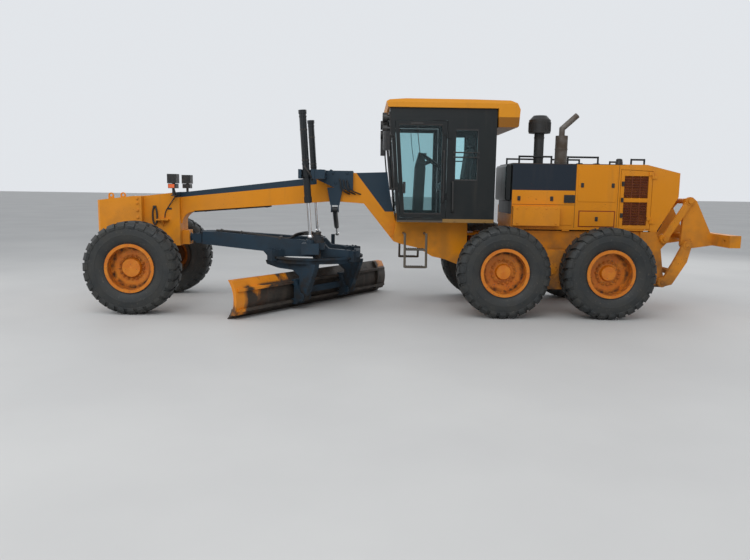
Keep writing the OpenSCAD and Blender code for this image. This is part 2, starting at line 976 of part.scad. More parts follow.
// Bolted along the blade's lower edge, it scrapes the ground
module cutting_edge() {
  color([0.25, 0.24, 0.24])
    blade_frame()
      translate([0, blade_shift, 0])
        along_y(-blade_l / 2, blade_l / 2)
          arc_strip(blade_r_arc - seat_gap - edge_t, blade_r_arc - seat_gap, 0, edge_h);
}

// Grips the blade's rails and tilts on the circle's arms
module blade_carrier() {
  ear_t = 42;
  ear_gap = arm_t / 2 + 6;
  half_w = ear_gap + ear_t;
  hook = 24;
  front_x = carrier_x + 40;
  color("slategray")
    blade_frame() union() {
      for (side = [-1, 1]) {
        difference() {
          block(carrier_x - 38, front_x, side * arm_gap - half_w,
            side * arm_gap + half_w, rail_z[0] - hook, rail_z[1] + rail_h + hook);
          for (z = rail_z)
            block(carrier_x - rail_gap, front_x + 1, side * arm_gap - half_w - 1,
              side * arm_gap + half_w + 1, z - rail_gap, z + rail_h + rail_gap);
          block(carrier_x - 4, front_x + 1, side * arm_gap - half_w - 1,
            side * arm_gap + half_w + 1, rail_z[0] + rail_h + 20, rail_z[1] - 20);
        }
        for (e = [-ear_gap - ear_t, ear_gap])
          along_y(side * arm_gap + e, side * arm_gap + e + ear_t)
            union() {
              translate(tilt_pin)
                circle(d = 130);
              polygon([
                [carrier_x - 34, rail_z[0] - hook],
                [tilt_pin.x + 20, tilt_pin.y - 62],
                [tilt_pin.x, tilt_pin.y + 65],
                [carrier_x - 34, rail_z[1] + rail_h],
              ]);
            }
        pin_y(tilt_pin_d, tilt_pin.x, tilt_pin.y,
          side * arm_gap - half_w, side * arm_gap + half_w);
      }
      block(carrier_x - 38, carrier_x - 4, -arm_gap, arm_gap, 230, 330);
    }
}

// Saddle, blade lift cylinders and side shift cylinder

lift_foot = [at_x(-beam_cross_back), lift_y, lift_foot_z];
lift_lean = 60;
trunnion = [lift_foot.x + lift_lean, lift_y, trunnion_z];
lift_dir = (trunnion - lift_foot) / norm(trunnion - lift_foot);
tube_top = trunnion + lift_dir * lift_tube_up;
tube_bottom = tube_top - lift_dir * lift_tube_l;
trunnion_pin_d = 50;
rod_ball_d = 80;
shift_ball_d = 70;
fork_gap = 70;
oil_line = [0, lift_tube_d / 2 + 12, 0];
shift_anchor = [at_x(-shift_back), arch_w / 2 + 35, shift_z];
shift_eye_w = 84;
shift_foot = [shift_anchor.x, -760, 1080];
shift_dir = (shift_foot - shift_anchor) / norm(shift_foot - shift_anchor);

module saddle() {
  side_t = 70;
  inner = arch_w / 2 + seat_gap;
  arm_low = trunnion_z - 75;
  arm_high = trunnion_z + 60;
  color("slategray") union() {
    both_sides() {
      along_y(inner, inner + side_t)
        side_outline([
          [-3170, beam_top_rear + 70],
          [-2600, beam_top_rear + 70],
          [-2600, arm_low],
          [-2900, beam_top_rear - 200],
          [-3170, beam_top_rear - 240],
        ]);
      // Arm out to the lift cylinder and the fork round its trunnion
      block(at_x(-2760), at_x(-2610), inner, lift_y + 40, arm_low, arm_high);
      block(trunnion.x - fork_gap - 50, trunnion.x - fork_gap, lift_y - 60, lift_y + 60,
        arm_low, arm_high);
      block(at_x(-2620), trunnion.x + fork_gap + 45, lift_y - 170, lift_y - 120,
        arm_low, arm_high);
      block(trunnion.x + fork_gap, trunnion.x + fork_gap + 45, lift_y - 170, lift_y + 60,
        arm_low, arm_high);
    }
    // Strap over the beam
    block(at_x(-2860), at_x(-2620), -inner - 5, inner + 5,
      beam_top_rear + 8, beam_top_rear + 70);
    // The left side reaches down to the side shift cylinder
    along_y(inner, inner + side_t)
      side_outline([
        [120 - shift_back, 1860],
        [70 - shift_back, shift_z + 70],
        [-70 - shift_back, shift_z + 70],
        [-120 - shift_back, 1860],
      ]);
    for (x = [shift_eye_w / 2 + 4, -shift_eye_w / 2 - 20])
      along_x_ear(shift_anchor.x + x, 16);
    pin_x(40, shift_anchor.y, shift_anchor.z, shift_anchor.x - shift_eye_w / 2 - 12,
      shift_anchor.x + shift_eye_w / 2 + 12);
  }
}

// One of the two ears that hold the side shift cylinder's pin
module along_x_ear(x, t) {
  across_x(x, x + t)
    union() {
      translate([shift_anchor.y, shift_anchor.z])
        circle(d = 84);
      polygon([
        [shift_anchor.y - 40, shift_anchor.z + 10],
        [arch_w / 2 + 5, shift_z + 90],
        [arch_w / 2 + 68, shift_z + 90],
        [shift_anchor.y + 41, shift_anchor.z + 10],
      ]);
    }
}

// The left lift cylinder's tube, capped on top, with the pins it swings on
module lift_tube() {
  color("dimgray") difference() {
    union() {
      bar(tube_bottom, tube_top, lift_tube_d);
      bar(tube_top - lift_dir * 40, tube_top + lift_dir * 12, lift_tube_d + 16);
      bar(tube_bottom - lift_dir * 10, tube_bottom + lift_dir * 70, lift_tube_d + 14);
      bar(trunnion - lift_dir * 50, trunnion + lift_dir * 50, lift_tube_d + 26);
      // Oil line down the outer side, in two clamps
      bar(trunnion + lift_dir * 110 + oil_line, tube_top - lift_dir * 60 + oil_line, 18);
      for (d = [130, lift_tube_up - 90])
        bar(trunnion + lift_dir * d, trunnion + lift_dir * (d + 20), lift_tube_d + 8);
      for (d = [140, lift_tube_up - 80])
        bar(trunnion + lift_dir * d, trunnion + lift_dir * d + oil_line, 26);
      pin_x(trunnion_pin_d, lift_y, trunnion_z,
        trunnion.x - fork_gap + seat_gap, trunnion.x + fork_gap - seat_gap);
    }
    bar(tube_bottom - lift_dir * 20, tube_top - lift_dir * 30, lift_rod_d + 2 * pin_gap);
  }
}

// Its lower ball stands just clear of the pad on the drawbar
module lift_rod() {
  color("silver") union() {
    bar(lift_foot, lift_foot + lift_dir * 1250, lift_rod_d);
    translate(lift_foot)
      sphere(d = rod_ball_d);
  }
}

shift_rod_d = 45;

module shift_tube() {
  color("dimgray") difference() {
    union() {
      bar(shift_anchor, shift_anchor + shift_dir * shift_tube_l, 80);
      pin_x(86, shift_anchor.y, shift_anchor.z, shift_anchor.x - shift_eye_w / 2,
        shift_anchor.x + shift_eye_w / 2);
    }
    bar(shift_anchor + shift_dir * 60, shift_anchor + shift_dir * 900,
      shift_rod_d + 2 * pin_gap);
    pin_x(40 + 2 * pin_gap, shift_anchor.y, shift_anchor.z,
      shift_anchor.x - shift_eye_w, shift_anchor.x + shift_eye_w);
  }
}

module shift_rod() {
  color("silver") union() {
    bar(shift_anchor + shift_dir * (shift_tube_l - 345), shift_foot, shift_rod_d);
    translate(shift_foot)
      sphere(d = shift_ball_d);
  }
}

// Cab

cab_back_x = -cab_rear_back;
cab_foot_x = -cab_front_back;
wall_in = cab_w / 2 - cab_wall;
door_low = cab_bottom + 70;
door_high = cab_top - 190;
door_hinge_x = -door_rear_back;

module cab_outline(inset) {
  side_outline([
    [cab_foot_x - inset, cab_bottom + inset],
    [cab_foot_x + cab_lean - inset, cab_top - inset],
    [cab_back_x + inset, cab_top - inset],
    [cab_back_x + inset, cab_bottom + inset],
  ]);
}

// The door's place in the side of the cab; grow makes the opening wider than the door
module door_outline(grow) {
  side_outline([
    [-door_front_back + grow, door_low - grow],
    [-door_front_back + 95 + grow, door_high + grow],
    [-door_rear_back - grow, door_high + grow],
    [-door_rear_back - grow, door_low - grow],
  ]);
}

module door_glass_outline() {
  side_outline([
    [-door_front_back - 60, door_low + 70],
    [-door_front_back + 35, door_high - 65],
    [-door_rear_back + 75, door_high - 65],
    [-door_rear_back + 75, door_low + 70],
  ]);
}

// Window behind the door, drawn on each side
module side_window_outline() {
  side_outline([
    [-door_rear_back - 130, 2010],
    [-door_rear_back - 130, 2720],
    [-5010, 2720],
    [-5010, 2010],
  ]);
}

module rear_window_outline() {
  translate([-550, 1850])
    square([1100, 930]);
}

module windscreen_outline() {
  translate([-590, cab_bottom + 120])
    square([1180, cab_top - cab_bottom - 240]);
}

knuckle_h = 50;
knuckle_r = 13.5;
door_hinge_z = [1700, 2600];

// Half of a door's hinge; dir is 1 where it joins what lies in front of the axis
module hinge_knuckle(x, face_y, z, dir) {
  axis_y = face_y + knuckle_r + 0.5;
  translate([at_x(x), axis_y, z])
    cylinder(h = knuckle_h, r = knuckle_r);
  translate([at_x(x + (dir > 0 ? 2 : -60)), face_y - 2, z])
    cube([58, knuckle_r + 8, knuckle_h]);
}

module cab_body() {
  color([0.13, 0.14, 0.15]) union() {
    cab_walls();
    both_sides()
      for (z = door_hinge_z)
        hinge_knuckle(-door_rear_back, cab_w / 2, z, -1);
  }
}

module cab_walls() {
  difference() {
    along_y(-cab_w / 2, cab_w / 2) cab_outline(0);
    along_y(-wall_in, wall_in) cab_outline(cab_wall);
    along_y(-cab_w, cab_w) door_outline(door_gap);
    along_y(-cab_w, cab_w) side_window_outline();
    across_x(at_x(cab_back_x - 50), at_x(cab_back_x + 60)) rear_window_outline();
    across_x(at_x(cab_foot_x - 80), at_x(cab_foot_x + 200)) windscreen_outline();
  }
}

// Roof with its drooping rear box
module cab_roof() {
  color("orange") intersection() {
    along_y(-roof_w / 2, roof_w / 2)
      side_outline([
        [-3680, cab_top + seat_gap],
        [-3655, roof_top - 60],
        [-3700, roof_top - 30],
        [-4000, roof_top - 5],
        [-4400, roof_top],
        [-5480, roof_top - 20],
        [-5570, roof_top - 60],
        [-5615, roof_top - 150],
        [-5600, roof_box_z + 18],
        [-5580, roof_box_z],
        [cab_back_x - 15, roof_box_z],
        [cab_back_x - 8, cab_top + seat_gap],
      ]);
    across_x(at_x(-5700), at_x(-3600))
      polygon([
        [-roof_w / 2 + 20, roof_box_z - 72],
        [-roof_w / 2, roof_box_z - 12],
        [-roof_w / 2, roof_top - 70],
        [-roof_w / 2 + 60, roof_top - 10],
        [-roof_w / 2 + 200, roof_top],
        [roof_w / 2 - 200, roof_top],
        [roof_w / 2 - 60, roof_top - 10],
        [roof_w / 2, roof_top - 70],
        [roof_w / 2, roof_box_z - 12],
        [roof_w / 2 - 20, roof_box_z - 72],
      ]);
  }
}

// Panes of the windscreen, the rear window and the fixed side windows
module cab_glass() {
  fit = seat_gap;
  screen_lean = atan(cab_lean / (cab_top - cab_bottom));
  color([0.55, 0.8, 0.85, 0.5]) union() {
    both_sides()
      along_y(cab_w / 2 - 20 - glass_t, cab_w / 2 - 20)
        side_outline([
          [-door_rear_back - 130 - fit, 2010 + fit],
          [-door_rear_back - 130 - fit, 2720 - fit],
          [-5010 + fit, 2720 - fit],
          [-5010 + fit, 2010 + fit],
        ]);
    block(at_x(cab_back_x + 15), at_x(cab_back_x + 15 + glass_t), -550 + fit, 550 - fit,
      1850 + fit, 2780 - fit);
    intersection() {
      along_y(-590 + fit, 590 - fit)
        side_outline([
          [cab_foot_x - 15, cab_bottom],
          [cab_foot_x - 15 + cab_lean, cab_top],
          [cab_foot_x - 15 - glass_t + cab_lean, cab_top],
          [cab_foot_x - 15 - glass_t, cab_bottom],
        ]);
      block(at_x(-4000), at_x(-3600), -700, 700,
        cab_bottom + 120 + fit, cab_top - 120 - fit);
    }
  }
}

// The left door's frame and pane; its hinge is at the rear edge
module cab_door() {
  color([0.13, 0.14, 0.15]) union() {
    for (z = door_hinge_z)
      hinge_knuckle(-door_rear_back, cab_w / 2, z + knuckle_h + seat_gap, 1);
    difference() {
      along_y(wall_in, cab_w / 2) door_outline(0);
      along_y(wall_in - 1, cab_w / 2 + 1) door_glass_outline();
    }
    intersection() {
      along_y(cab_w / 2 - 20 - glass_t, cab_w / 2 - 20) door_outline(-20);
      along_y(0, cab_w) door_outline(0);
    }
  }
}

// A piece of the seat's back with this outline of y and z, cut to the back's lean
module across_back(points) {
  intersection() {
    across_x(at_x(-5200), at_x(-4800)) polygon(points);
    along_y(-300, 300)
      side_outline([
        [-4865, 1900],
        [-4965, 2700],
        [-5075, 2700],
        [-4985, 1900],
      ]);
  }
}

// Cushion, backrest and headrest of the operator's seat
module cab_seat() {
  color([0.1, 0.1, 0.11]) union() {
    along_y(-250, 250)
      side_outline([
        [-4980, 1850],
        [-4980, 1960],
        [-4540, 1972],
        [-4490, 1945],
        [-4480, 1900],
        [-4510, 1850],
      ]);
    across_back([[-215, 1900], [-240, 2000], [-240, 2420], [-190, 2510], [190, 2510],
      [240, 2420], [240, 2000], [215, 1900]]);
    across_back([[-130, 2520], [-150, 2560], [-130, 2680], [130, 2680], [150, 2560],
      [130, 2520]]);
    for (y = [-60, 60])
      bar([at_x(-5000), y, 2480], [at_x(-5014), y, 2560], 16);
  }
}

// Floor console, steering column and wheel, seat base and lever consoles
module cab_console() {
  floor_z = cab_bottom + cab_wall + seat_gap;
  wheel_at = [at_x(-4390), 0, 2300];
  color([0.15, 0.15, 0.16]) union() {
    along_y(-110, 110)
      side_outline([
        [-4110, floor_z],
        [-4140, 2200],
        [-4200, 2430],
        [-4270, 2380],
        [-4300, 2180],
        [-4270, floor_z],
      ]);
    bar([at_x(-4240), 0, 2230], wheel_at, 60);
    translate(wheel_at)
      rotate([0, -35, 0]) union() {
        rotate_extrude()
          translate([195, 0])
            circle(d = 30);
        cylinder(h = 20, d = 80, center = true);
        for (a = [0, 120, 240])
          rotate([0, 0, a])
            bar([0, 0, 0], [195, 0, 0], 22);
      }
    block(at_x(-4900), at_x(-4560), -170, 170, floor_z, 1850 - seat_gap);
  }
}

// Pipe ladders below both doors
module ladders() {
  y0 = belly_w / 2;
  foot_y = 800;
  color([0.12, 0.12, 0.13])
    both_sides() union() {
      for (x = [-3960, -4280]) {
        bar([at_x(x), y0 + seat_gap, 1180], [at_x(x), foot_y - 60, 1180], 36);
        bar([at_x(x), foot_y - 60, 1198], [at_x(x), foot_y, 690], 36);
      }
      for (z = [700, 960])
        bar([at_x(-3960), foot_y - (z - 690) / 508 * 60, z],
          [at_x(-4280), foot_y - (z - 690) / 508 * 60, z], 36);
    }
}

// Headlamps with the turn lamps below them, on brackets at the back of the nose
module lamps() {
  lamp_y = 410;
  lamp_x = nose_rear_x;
  color([0.1, 0.1, 0.1])
    both_sides() union() {
      block(at_x(lamp_x + 10), at_x(lamp_x + 70), nose_w / 2 + seat_gap, lamp_y + 40,
        nose_top_z - 60, nose_top_z - 45);
      block(at_x(lamp_x + 25), at_x(lamp_x + 55), lamp_y - 20, lamp_y + 20,
        nose_top_z - 50, 1830);
      block(at_x(lamp_x - 20), at_x(lamp_x + 100), lamp_y - 75, lamp_y + 75, 1815, 1885);
      block(at_x(lamp_x + 15), at_x(lamp_x + 55), lamp_y - 15, lamp_y + 15, 1880, 1900);
      difference() {
        block(at_x(lamp_x - 30), at_x(lamp_x + 110), lamp_y - 85, lamp_y + 85, 1890, 2030);
        block(at_x(lamp_x + 98), at_x(lamp_x + 120), lamp_y - 72, lamp_y + 72, 1903, 2017);
      }
    }
}

// Height and place of the windscreen's outer face, from the front axle
function screen_x(z) = cab_foot_x + cab_lean * (z - cab_bottom) / (cab_top - cab_bottom);

// Mirror on each side, on two bars and two brackets in front of the cab's corner
mirror_at = [-3650, 850];
mirror_z = [2410, 2680];
module mirrors() {
  post_w = 30;
  high = [mirror_at.x - 15, 800, mirror_z[1] - 60];
  low = [mirror_at.x - 90, 755, 1850];
  color([0.1, 0.1, 0.1])
    both_sides() union() {
      translate([at_x(mirror_at.x), mirror_at.y, mirror_z[0]])
        rotate([0, 0, 12])
          linear_extrude(mirror_z[1] - mirror_z[0])
            union() {
              translate([-40, -75])
                square([56, 150]);
              translate([16, 0])
                scale([0.3, 1])
                  circle(d = 150);
            }
      for (x = [0, -45])
        bar([at_x(high.x + x), high.y, high.z], [at_x(low.x + x), low.y, low.z], 24);
      for (p = [high, low])
        mirror_bracket(p, screen_x(p.z) - 27, post_w);
    }
}

// A bar from p to a foot on the cab's front post at foot_x
module mirror_bracket(p, foot_x, foot_w) {
  face = cab_w / 2 + seat_gap;
  bar([at_x(p.x), p.y, p.z], [at_x(foot_x), face + 16, p.z], 26);
  bar([at_x(p.x - 50), p.y - 4, p.z], [at_x(p.x + 8), p.y, p.z], 24);
  block(at_x(foot_x - foot_w / 2), at_x(foot_x + foot_w / 2), face, face + 18,
    p.z - 25, p.z + 25);
}

// Two round work lamps on a plate at each upper front corner of the cab
module work_lamps() {
  lamp_y = 620;
  lamp_z = [cab_top - 305, cab_top - 145];
  plate_z = [cab_top - 390, cab_top - 60];
  front = screen_x(plate_z[1]) + 22;
  color([0.1, 0.1, 0.1])
    both_sides() union() {
      along_y(lamp_y - 55, lamp_y + 55)
        side_outline([for (p = [[0, seat_gap], [1, seat_gap], [1, 20], [0, 20]])
          [screen_x(plate_z[p[0]]) + p[1], plate_z[p[0]]]]);
      for (z = lamp_z)
        difference() {
          union() {
            pin_x(146, lamp_y, z, at_x(front + 20), at_x(front + 90));
            pin_x(90, lamp_y, z, at_x(screen_x(z) + 10), at_x(front + 30));
          }
          pin_x(128, lamp_y, z, at_x(front + 80), at_x(front + 100));
        }
    }
}

// Rear frame

rail_in = rail_w / 2 - rail_t;
mount_low = 400;
cross_beam_z = [1060, 1240];
cross_beam_mid = (cross_beam_z[0] + cross_beam_z[1]) / 2;
beam_face_x = ripper_beam_t - overall_back;

// The plate on each side that carries the ripper
module ripper_plate_outline() {
  side_outline([
    [-7600, rail_top],
    [-7830, rail_top],
    [-7900, 1120],
    [-8010, 1180],
    [-8020, 1090],
    [-7930, 990],
    [-7990, 600],
    [-ripper_pin_back - 65, ripper_pin_z + 20],
    [-ripper_pin_back - 30, mount_low],
    [-7880, mount_low],
    [-7760, 700],
    [-7600, rail_bottom],
  ]);
}

module rear_frame() {
  color("orange") difference() {
    union() {
      plates(rail_in, rail_w / 2)
        side_outline([
          [-5480, rail_top],
          [-7900, rail_top],
          [-7900, rail_bottom],
          [-5480, rail_bottom],
        ]);
      for (x = [[-5560, -5480], [-6260, -6180], [-7160, -7080], [-7780, -7700]])
        block(at_x(x[0]), at_x(x[1]), -rail_in - 5, rail_in + 5,
          rail_bottom + 30, rail_top - 40);
      // Upright post of the hitch and its web to the first cross member
      translate([at_x(-hitch_back), 0, hitch_low_z + plate_t + 30])
        cylinder(h = hitch_high_z - hitch_low_z - plate_t - 60, d = 240);
      translate([at_x(-hitch_back), 0, hitch_low_z - 10])
        cylinder(h = hitch_high_z + plate_t - hitch_low_z + 30, d = hitch_pin_d);
      translate([0, 0, hitch_low_z + plate_t + 60])
        linear_extrude(hitch_high_z - hitch_low_z - plate_t - 120)
          polygon([
            [at_x(-hitch_back), -100],
            [at_x(-hitch_back), 100],
            [at_x(-5550), rail_in + 10],
            [at_x(-5550), -rail_in - 10],
          ]);
      // Ripper plates, the pins' cross tubes and the tail cross member
      plates(rail_w / 2 - 5, rail_w / 2 + 45)
        union() {
          ripper_plate_outline();
          at_pin(arm_pin) circle(d = 150);
          at_pin(link_pin) circle(d = 150);
        }
      pin_y(140, at_x(-7840), 640, -rail_w / 2, rail_w / 2);
      for (p = [arm_pin, link_pin])
        both_sides()
          pin_y(ripper_pin_d, at_x(p.x), p.y, rail_w / 2 + 5, ripper_y + 75);
      // Seats of the rear axle housing
      both_sides()
        block(at_x(-wheelbase - 110), at_x(-wheelbase + 110), rail_in, rail_w / 2,
          wheel_z + 20 + axle_housing_d / 2 - 60, rail_bottom + 5);
      // Lug of the ripper's cylinder
      for (y = [-84, 64])
        along_y(y, y + 20)
          side_outline([
            [-7750, rail_bottom + 45],
            [-7750, rail_bottom + 130],
            [tube_pin.x - 45, tube_pin.y + 20],
            [tube_pin.x - 30, tube_pin.y - 45],
            [tube_pin.x + 20, tube_pin.y - 50],
          ]);
      pin_y(50, at_x(tube_pin.x), tube_pin.y, -84, 84);
    }
    both_sides()
      pin_y(axle_housing_d + 2 * seat_gap, at_x(-wheelbase), wheel_z + 20, rail_in - 10,
        rail_w / 2 + 10);
  }
}

// Rear axle housing with the two chain cases that carry the wheels
module tandem_axle() {
  case_in = 775 - case_w;
  housing_z = wheel_z + 20;
  color("orange") union() {
    pin_y(axle_housing_d, at_x(-wheelbase), housing_z, -case_in - 20, case_in + 20);
    translate([at_x(-wheelbase), 0, housing_z])
      sphere(d = axle_housing_d + 120);
    both_sides() {
      along_y(case_in, case_in + case_w)
        union() {
          for (x = [-mid_back, -rear_back])
            translate([at_x(x), wheel_z])
              circle(d = case_end_d);
          side_outline([
            [-mid_back, wheel_z + case_end_d / 2],
            [-mid_back - 520, wheel_z + case_h / 2],
            [-rear_back + 520, wheel_z + case_h / 2],
            [-rear_back, wheel_z + case_end_d / 2],
            [-rear_back, wheel_z - case_end_d / 2],
            [-rear_back + 520, wheel_z - case_h / 2 + 20],
            [-mid_back - 520, wheel_z - case_h / 2 + 20],
            [-mid_back, wheel_z - case_end_d / 2],
          ]);
        }
      for (x = [-mid_back, -rear_back])
        pin_y(stub_d, at_x(x), wheel_z, case_in + case_w - 10,
          track / 2 + rim_w / 2 - rear_disc_in - 20);
    }
  }
}

// The engine as a plain block at its real place
module engine() {
  color("dimgray")
    block(at_x(-engine_rear_back), at_x(-engine_front_back), -300, 300,
      rail_top - 40 + seat_gap, engine_top);
}

module hood_outline(inset) {
  side_outline([
    [-hood_front_back - inset, hood_bottom - inset],
    [-hood_front_back - inset, hood_top - inset],
    [-hood_slope_back, hood_top - inset],
    [-hood_rear_back + inset, 2150 - inset],
    [-hood_rear_back + inset, hood_tail_z],
    [-hood_tail_back + inset, hood_bottom - inset],
  ]);
}

grille_low = hood_bottom + 25;
grille_high = 2190;

module grille_outline(grow) {
  side_outline([
    [-grille_front_back + grow, grille_low - grow],
    [-grille_front_back + grow, grille_high + grow],
    [-grille_rear_back - grow, grille_high - 20 + grow],
    [-grille_rear_back - grow, grille_low - grow],
  ]);
}

// Sheet cover of the engine, with its side boxes, feet and top rails
module hood() {
  half = hood_w / 2;
  color("orange") union() {
    difference() {
      along_y(-half, half) hood_outline(0);
      along_y(hood_t - half, half - hood_t) hood_outline(hood_t);
      along_y(-hood_w, hood_w) grille_outline(door_gap);
      // Air outlet in the tail
      block(at_x(-hood_rear_back - 10), at_x(-hood_rear_back + hood_t + 10),
        -340, 340, hood_tail_z + 50, 2100);
    }
    for (z = [hood_tail_z + 75:slat_pitch:2090])
      along_y(-345, 345)
        side_outline([
          [-hood_rear_back + 4, z - 12],
          [-hood_rear_back + 20, z + 6],
          [-hood_rear_back + 20, z + 12],
          [-hood_rear_back + 4, z - 6],
        ]);
    // Feet on the rails
    both_sides()
      for (x = [hood_front_back + 150, hood_front_back + 850, hood_front_back + 1550,
        hood_tail_back - 50])
        block(at_x(-x - 55), at_x(-x + 55), half - hood_t - 50, half - 5,
          rail_top + seat_gap, hood_bottom + 60);
    // Knuckles of the grille doors' hinges
    both_sides()
      for (z = grille_hinge_z)
        hinge_knuckle(-grille_rear_back, half, z, -1);
    // Side boxes beside the engine
    both_sides()
      along_y(half - 5, half + 110)
        side_outline([
          [-5600, 1330],
          [-5600, 1620],
          [-6310, 1620],
          [-6310, 1330],
        ]);
    // Top rails: start, end, foot height above the hood
    for (r = rail_loops)
      both_sides()
        top_rail(r);
  }
}

// Top rails: front end x, rear end x, height over the hood's roof
rail_loops = [
  [-5690, -6180, 100],
  [-6430, -6890, 100],
  [-7400, -7600, 75],
];
module top_rail(r) {
  y = hood_w / 2 - 40;
  z = hood_top + r[2];
  bar([at_x(r[0]), y, hood_top - 30], [at_x(r[0]), y, z + 14], 28);
  bar([at_x(r[1]), y, hood_top - 30], [at_x(r[1]), y, z + 14], 28);
  bar([at_x(r[0]), y, z], [at_x(r[1]), y, z], 28);
}

grille_hinge_z = [1380, 2060];

// One sloping slat of a side grille
module slat(x0, x1, y, z) {
  across_x(x0, x1)
    polygon([[y, z - 10], [y + 14, z + 8], [y + 14, z + 14], [y, z - 4]]);
}

// The left grille door, hinged at its rear edge
module grille_door() {
  half = hood_w / 2;
  frame_w = 55;
  mid_z = 1735;
  x0 = -grille_rear_back + frame_w;
  x1 = -grille_front_back - frame_w;
  color([0.45, 0.25, 0.15]) union() {
    difference() {
      along_y(half - hood_t, half) grille_outline(0);
      for (z = [[grille_low + frame_w, mid_z - 30], [mid_z + 30, grille_high - 90]])
        block(at_x(x0), at_x(x1), half - hood_t - 1, half + 1, z[0], z[1]);
    }
    for (z = grille_hinge_z)
      hinge_knuckle(-grille_rear_back, half, z + knuckle_h + seat_gap, 1);
    for (z = [grille_low + frame_w + slat_pitch / 2:slat_pitch:grille_high - 110])
      if (abs(z - mid_z) > 40)
        slat(at_x(x0 - 10), at_x(x1 + 10), half - hood_t + 6, z);
    for (x = [x0 + (x1 - x0) / 3, x0 + (x1 - x0) * 2 / 3])
      block(at_x(x - 8), at_x(x + 8), half - hood_t + 4, half - 6,
        grille_low + 20, grille_high - 60);
  }
}

// Air precleaner and exhaust on the hood
module stacks() {
  color("dimgray") union() {
    translate([at_x(-6050), 170, hood_top + seat_gap])
      cylinder(h = 480, d = 150);
    translate([at_x(-6050), 170, 2740])
      cylinder(h = 200, d = 330);
    translate([at_x(-6050), 170, 2935])
      cylinder(h = 70, d1 = 330, d2 = 200);
    translate([at_x(-6450), 0, hood_top + seat_gap])
      cylinder(h = 450, d = 190);
    translate([at_x(-6450), 0, 2700])
      cylinder(h = 150, d = 90);
    bar([at_x(-6450), 0, 2830], [at_x(-6680), 0, 3040], 90);
  }
}

// Ripper: a parallel linkage behind the rear frame

ripper_pin_d = 70;
ripper_swing = [-350, 580];
arm_pin = [-ripper_pin_back, ripper_pin_z];
link_pin = [-ripper_pin_back, 1150];
arm_end = arm_pin + ripper_swing;
link_end = link_pin + ripper_swing;
tube_pin = [-7850, 900];
rod_pin = [link_end.x + 90, link_end.y - 110];
ripper_y = rail_w / 2 + 45 + 8;

module at_pin(p) {
  translate([at_x(p.x), p.y])
    children();
}

// The two curved lower arms, tied by a cross tube
module ripper_arms() {
  color("orange") difference() {
    union() {
      plates(ripper_y, ripper_y + 60)
        union() {
          at_pin(arm_pin) circle(d = 150);
          at_pin(arm_end) circle(d = 140);
          side_outline([
            [arm_pin.x + 10, arm_pin.y - 74],
            [arm_pin.x - 150, arm_pin.y - 30],
            [arm_end.x - 10, arm_end.y - 260],
            [arm_end.x - 70, arm_end.y],
            [arm_end.x + 70, arm_end.y],
            [arm_pin.x - 160, arm_pin.y + 330],
            [arm_pin.x - 20, arm_pin.y + 70],
          ]);
        }
      pin_y(90, at_x(arm_pin.x - 190), arm_pin.y + 150, -ripper_y - 10, ripper_y + 10);
    }
    for (p = [arm_pin, arm_end])
      pin_y(ripper_pin_d + 2 * pin_gap, at_x(p.x), p.y, -1000, 1000);
  }
}

// The straight upper link
module ripper_link() {
  color("orange") difference() {
    plates(ripper_y, ripper_y + 40)
      union() {
        at_pin(link_pin) circle(d = 140);
        at_pin(link_end) circle(d = 130);
        translate([at_x(link_pin.x), link_pin.y])
          rotate([0, 0, atan2(ripper_swing.y, ripper_swing.x)])
            translate([0, -50])
              square([norm(ripper_swing), 100]);
      }
    for (p = [link_pin, link_end])
      pin_y(ripper_pin_d + 2 * pin_gap, at_x(p.x), p.y, -1000, 1000);
  }
}

// Side brackets and the cross beam that takes the ripper's teeth
module ripper_beam() {
  color("orange") difference() {
    union() {
      plates(ripper_y - 8 - 60, ripper_y - 8)
        side_outline([
          [link_end.x + 60, link_end.y + 40],
          [link_end.x - 60, link_end.y + 60],
          [link_end.x - 130, link_end.y],
          [beam_face_x + 40, cross_beam_z[1] + 10],
          [beam_face_x - 10, cross_beam_z[1]],
          [beam_face_x - 10, cross_beam_z[0]],
          [arm_end.x + 40, arm_end.y - 70],
          [arm_end.x + 80, arm_end.y],
        ]);
      for (p = [arm_end, link_end])
        both_sides()
          pin_y(ripper_pin_d, at_x(p.x), p.y, ripper_y - 20, ripper_y + 75);
      block(at_x(-overall_back), at_x(beam_face_x), -ripper_beam_l / 2, ripper_beam_l / 2,
        cross_beam_z[0], cross_beam_z[1]);
      pin_y(120, at_x(arm_end.x - 250), cross_beam_mid, -ripper_y + 20, ripper_y - 20);
      pin_y(80, at_x(link_end.x), link_end.y, -ripper_y + 20, ripper_y - 20);
      for (y = [-70, 50])
        along_y(y, y + 20)
          side_outline([
            [link_end.x - 40, link_end.y - 20],
            [link_end.x, link_end.y + 38],
            [rod_pin.x + 40, rod_pin.y + 10],
            [rod_pin.x + 20, rod_pin.y - 45],
            [rod_pin.x - 45, rod_pin.y - 20],
          ]);
    }
    both_sides()
      pin_x(beam_hole_d, ripper_beam_l / 2 - 150, cross_beam_mid,
        at_x(-overall_back - 10), at_x(beam_face_x + 20));
  }
}

ram_a = [at_x(tube_pin.x), 0, tube_pin.y];
ram_b = [at_x(rod_pin.x), 0, rod_pin.y];
ram_dir = (ram_b - ram_a) / norm(ram_b - ram_a);
ram_tube_l = 560;

module ripper_tube() {
  color("orange") difference() {
    union() {
      pin_y(110, ram_a.x, ram_a.z, -58, 58);
      bar(ram_a, ram_a + ram_dir * ram_tube_l, ripper_tube_d);
    }
    pin_y(50 + 2 * pin_gap, ram_a.x, ram_a.z, -60, 60);
    bar(ram_a + ram_dir * 80, ram_a + ram_dir * 700, 60 + 2 * pin_gap);
  }
}

module ripper_rod() {
  color("silver") union() {
    bar(ram_a + ram_dir * 330, ram_b, 60);
    pin_y(76, ram_b.x, ram_b.z, -38, 38);
  }
}

// Every piece, one node each

front_cap = 150;
rear_cap = 120;

module right() {
  mirror([0, 1, 0]) children();
}

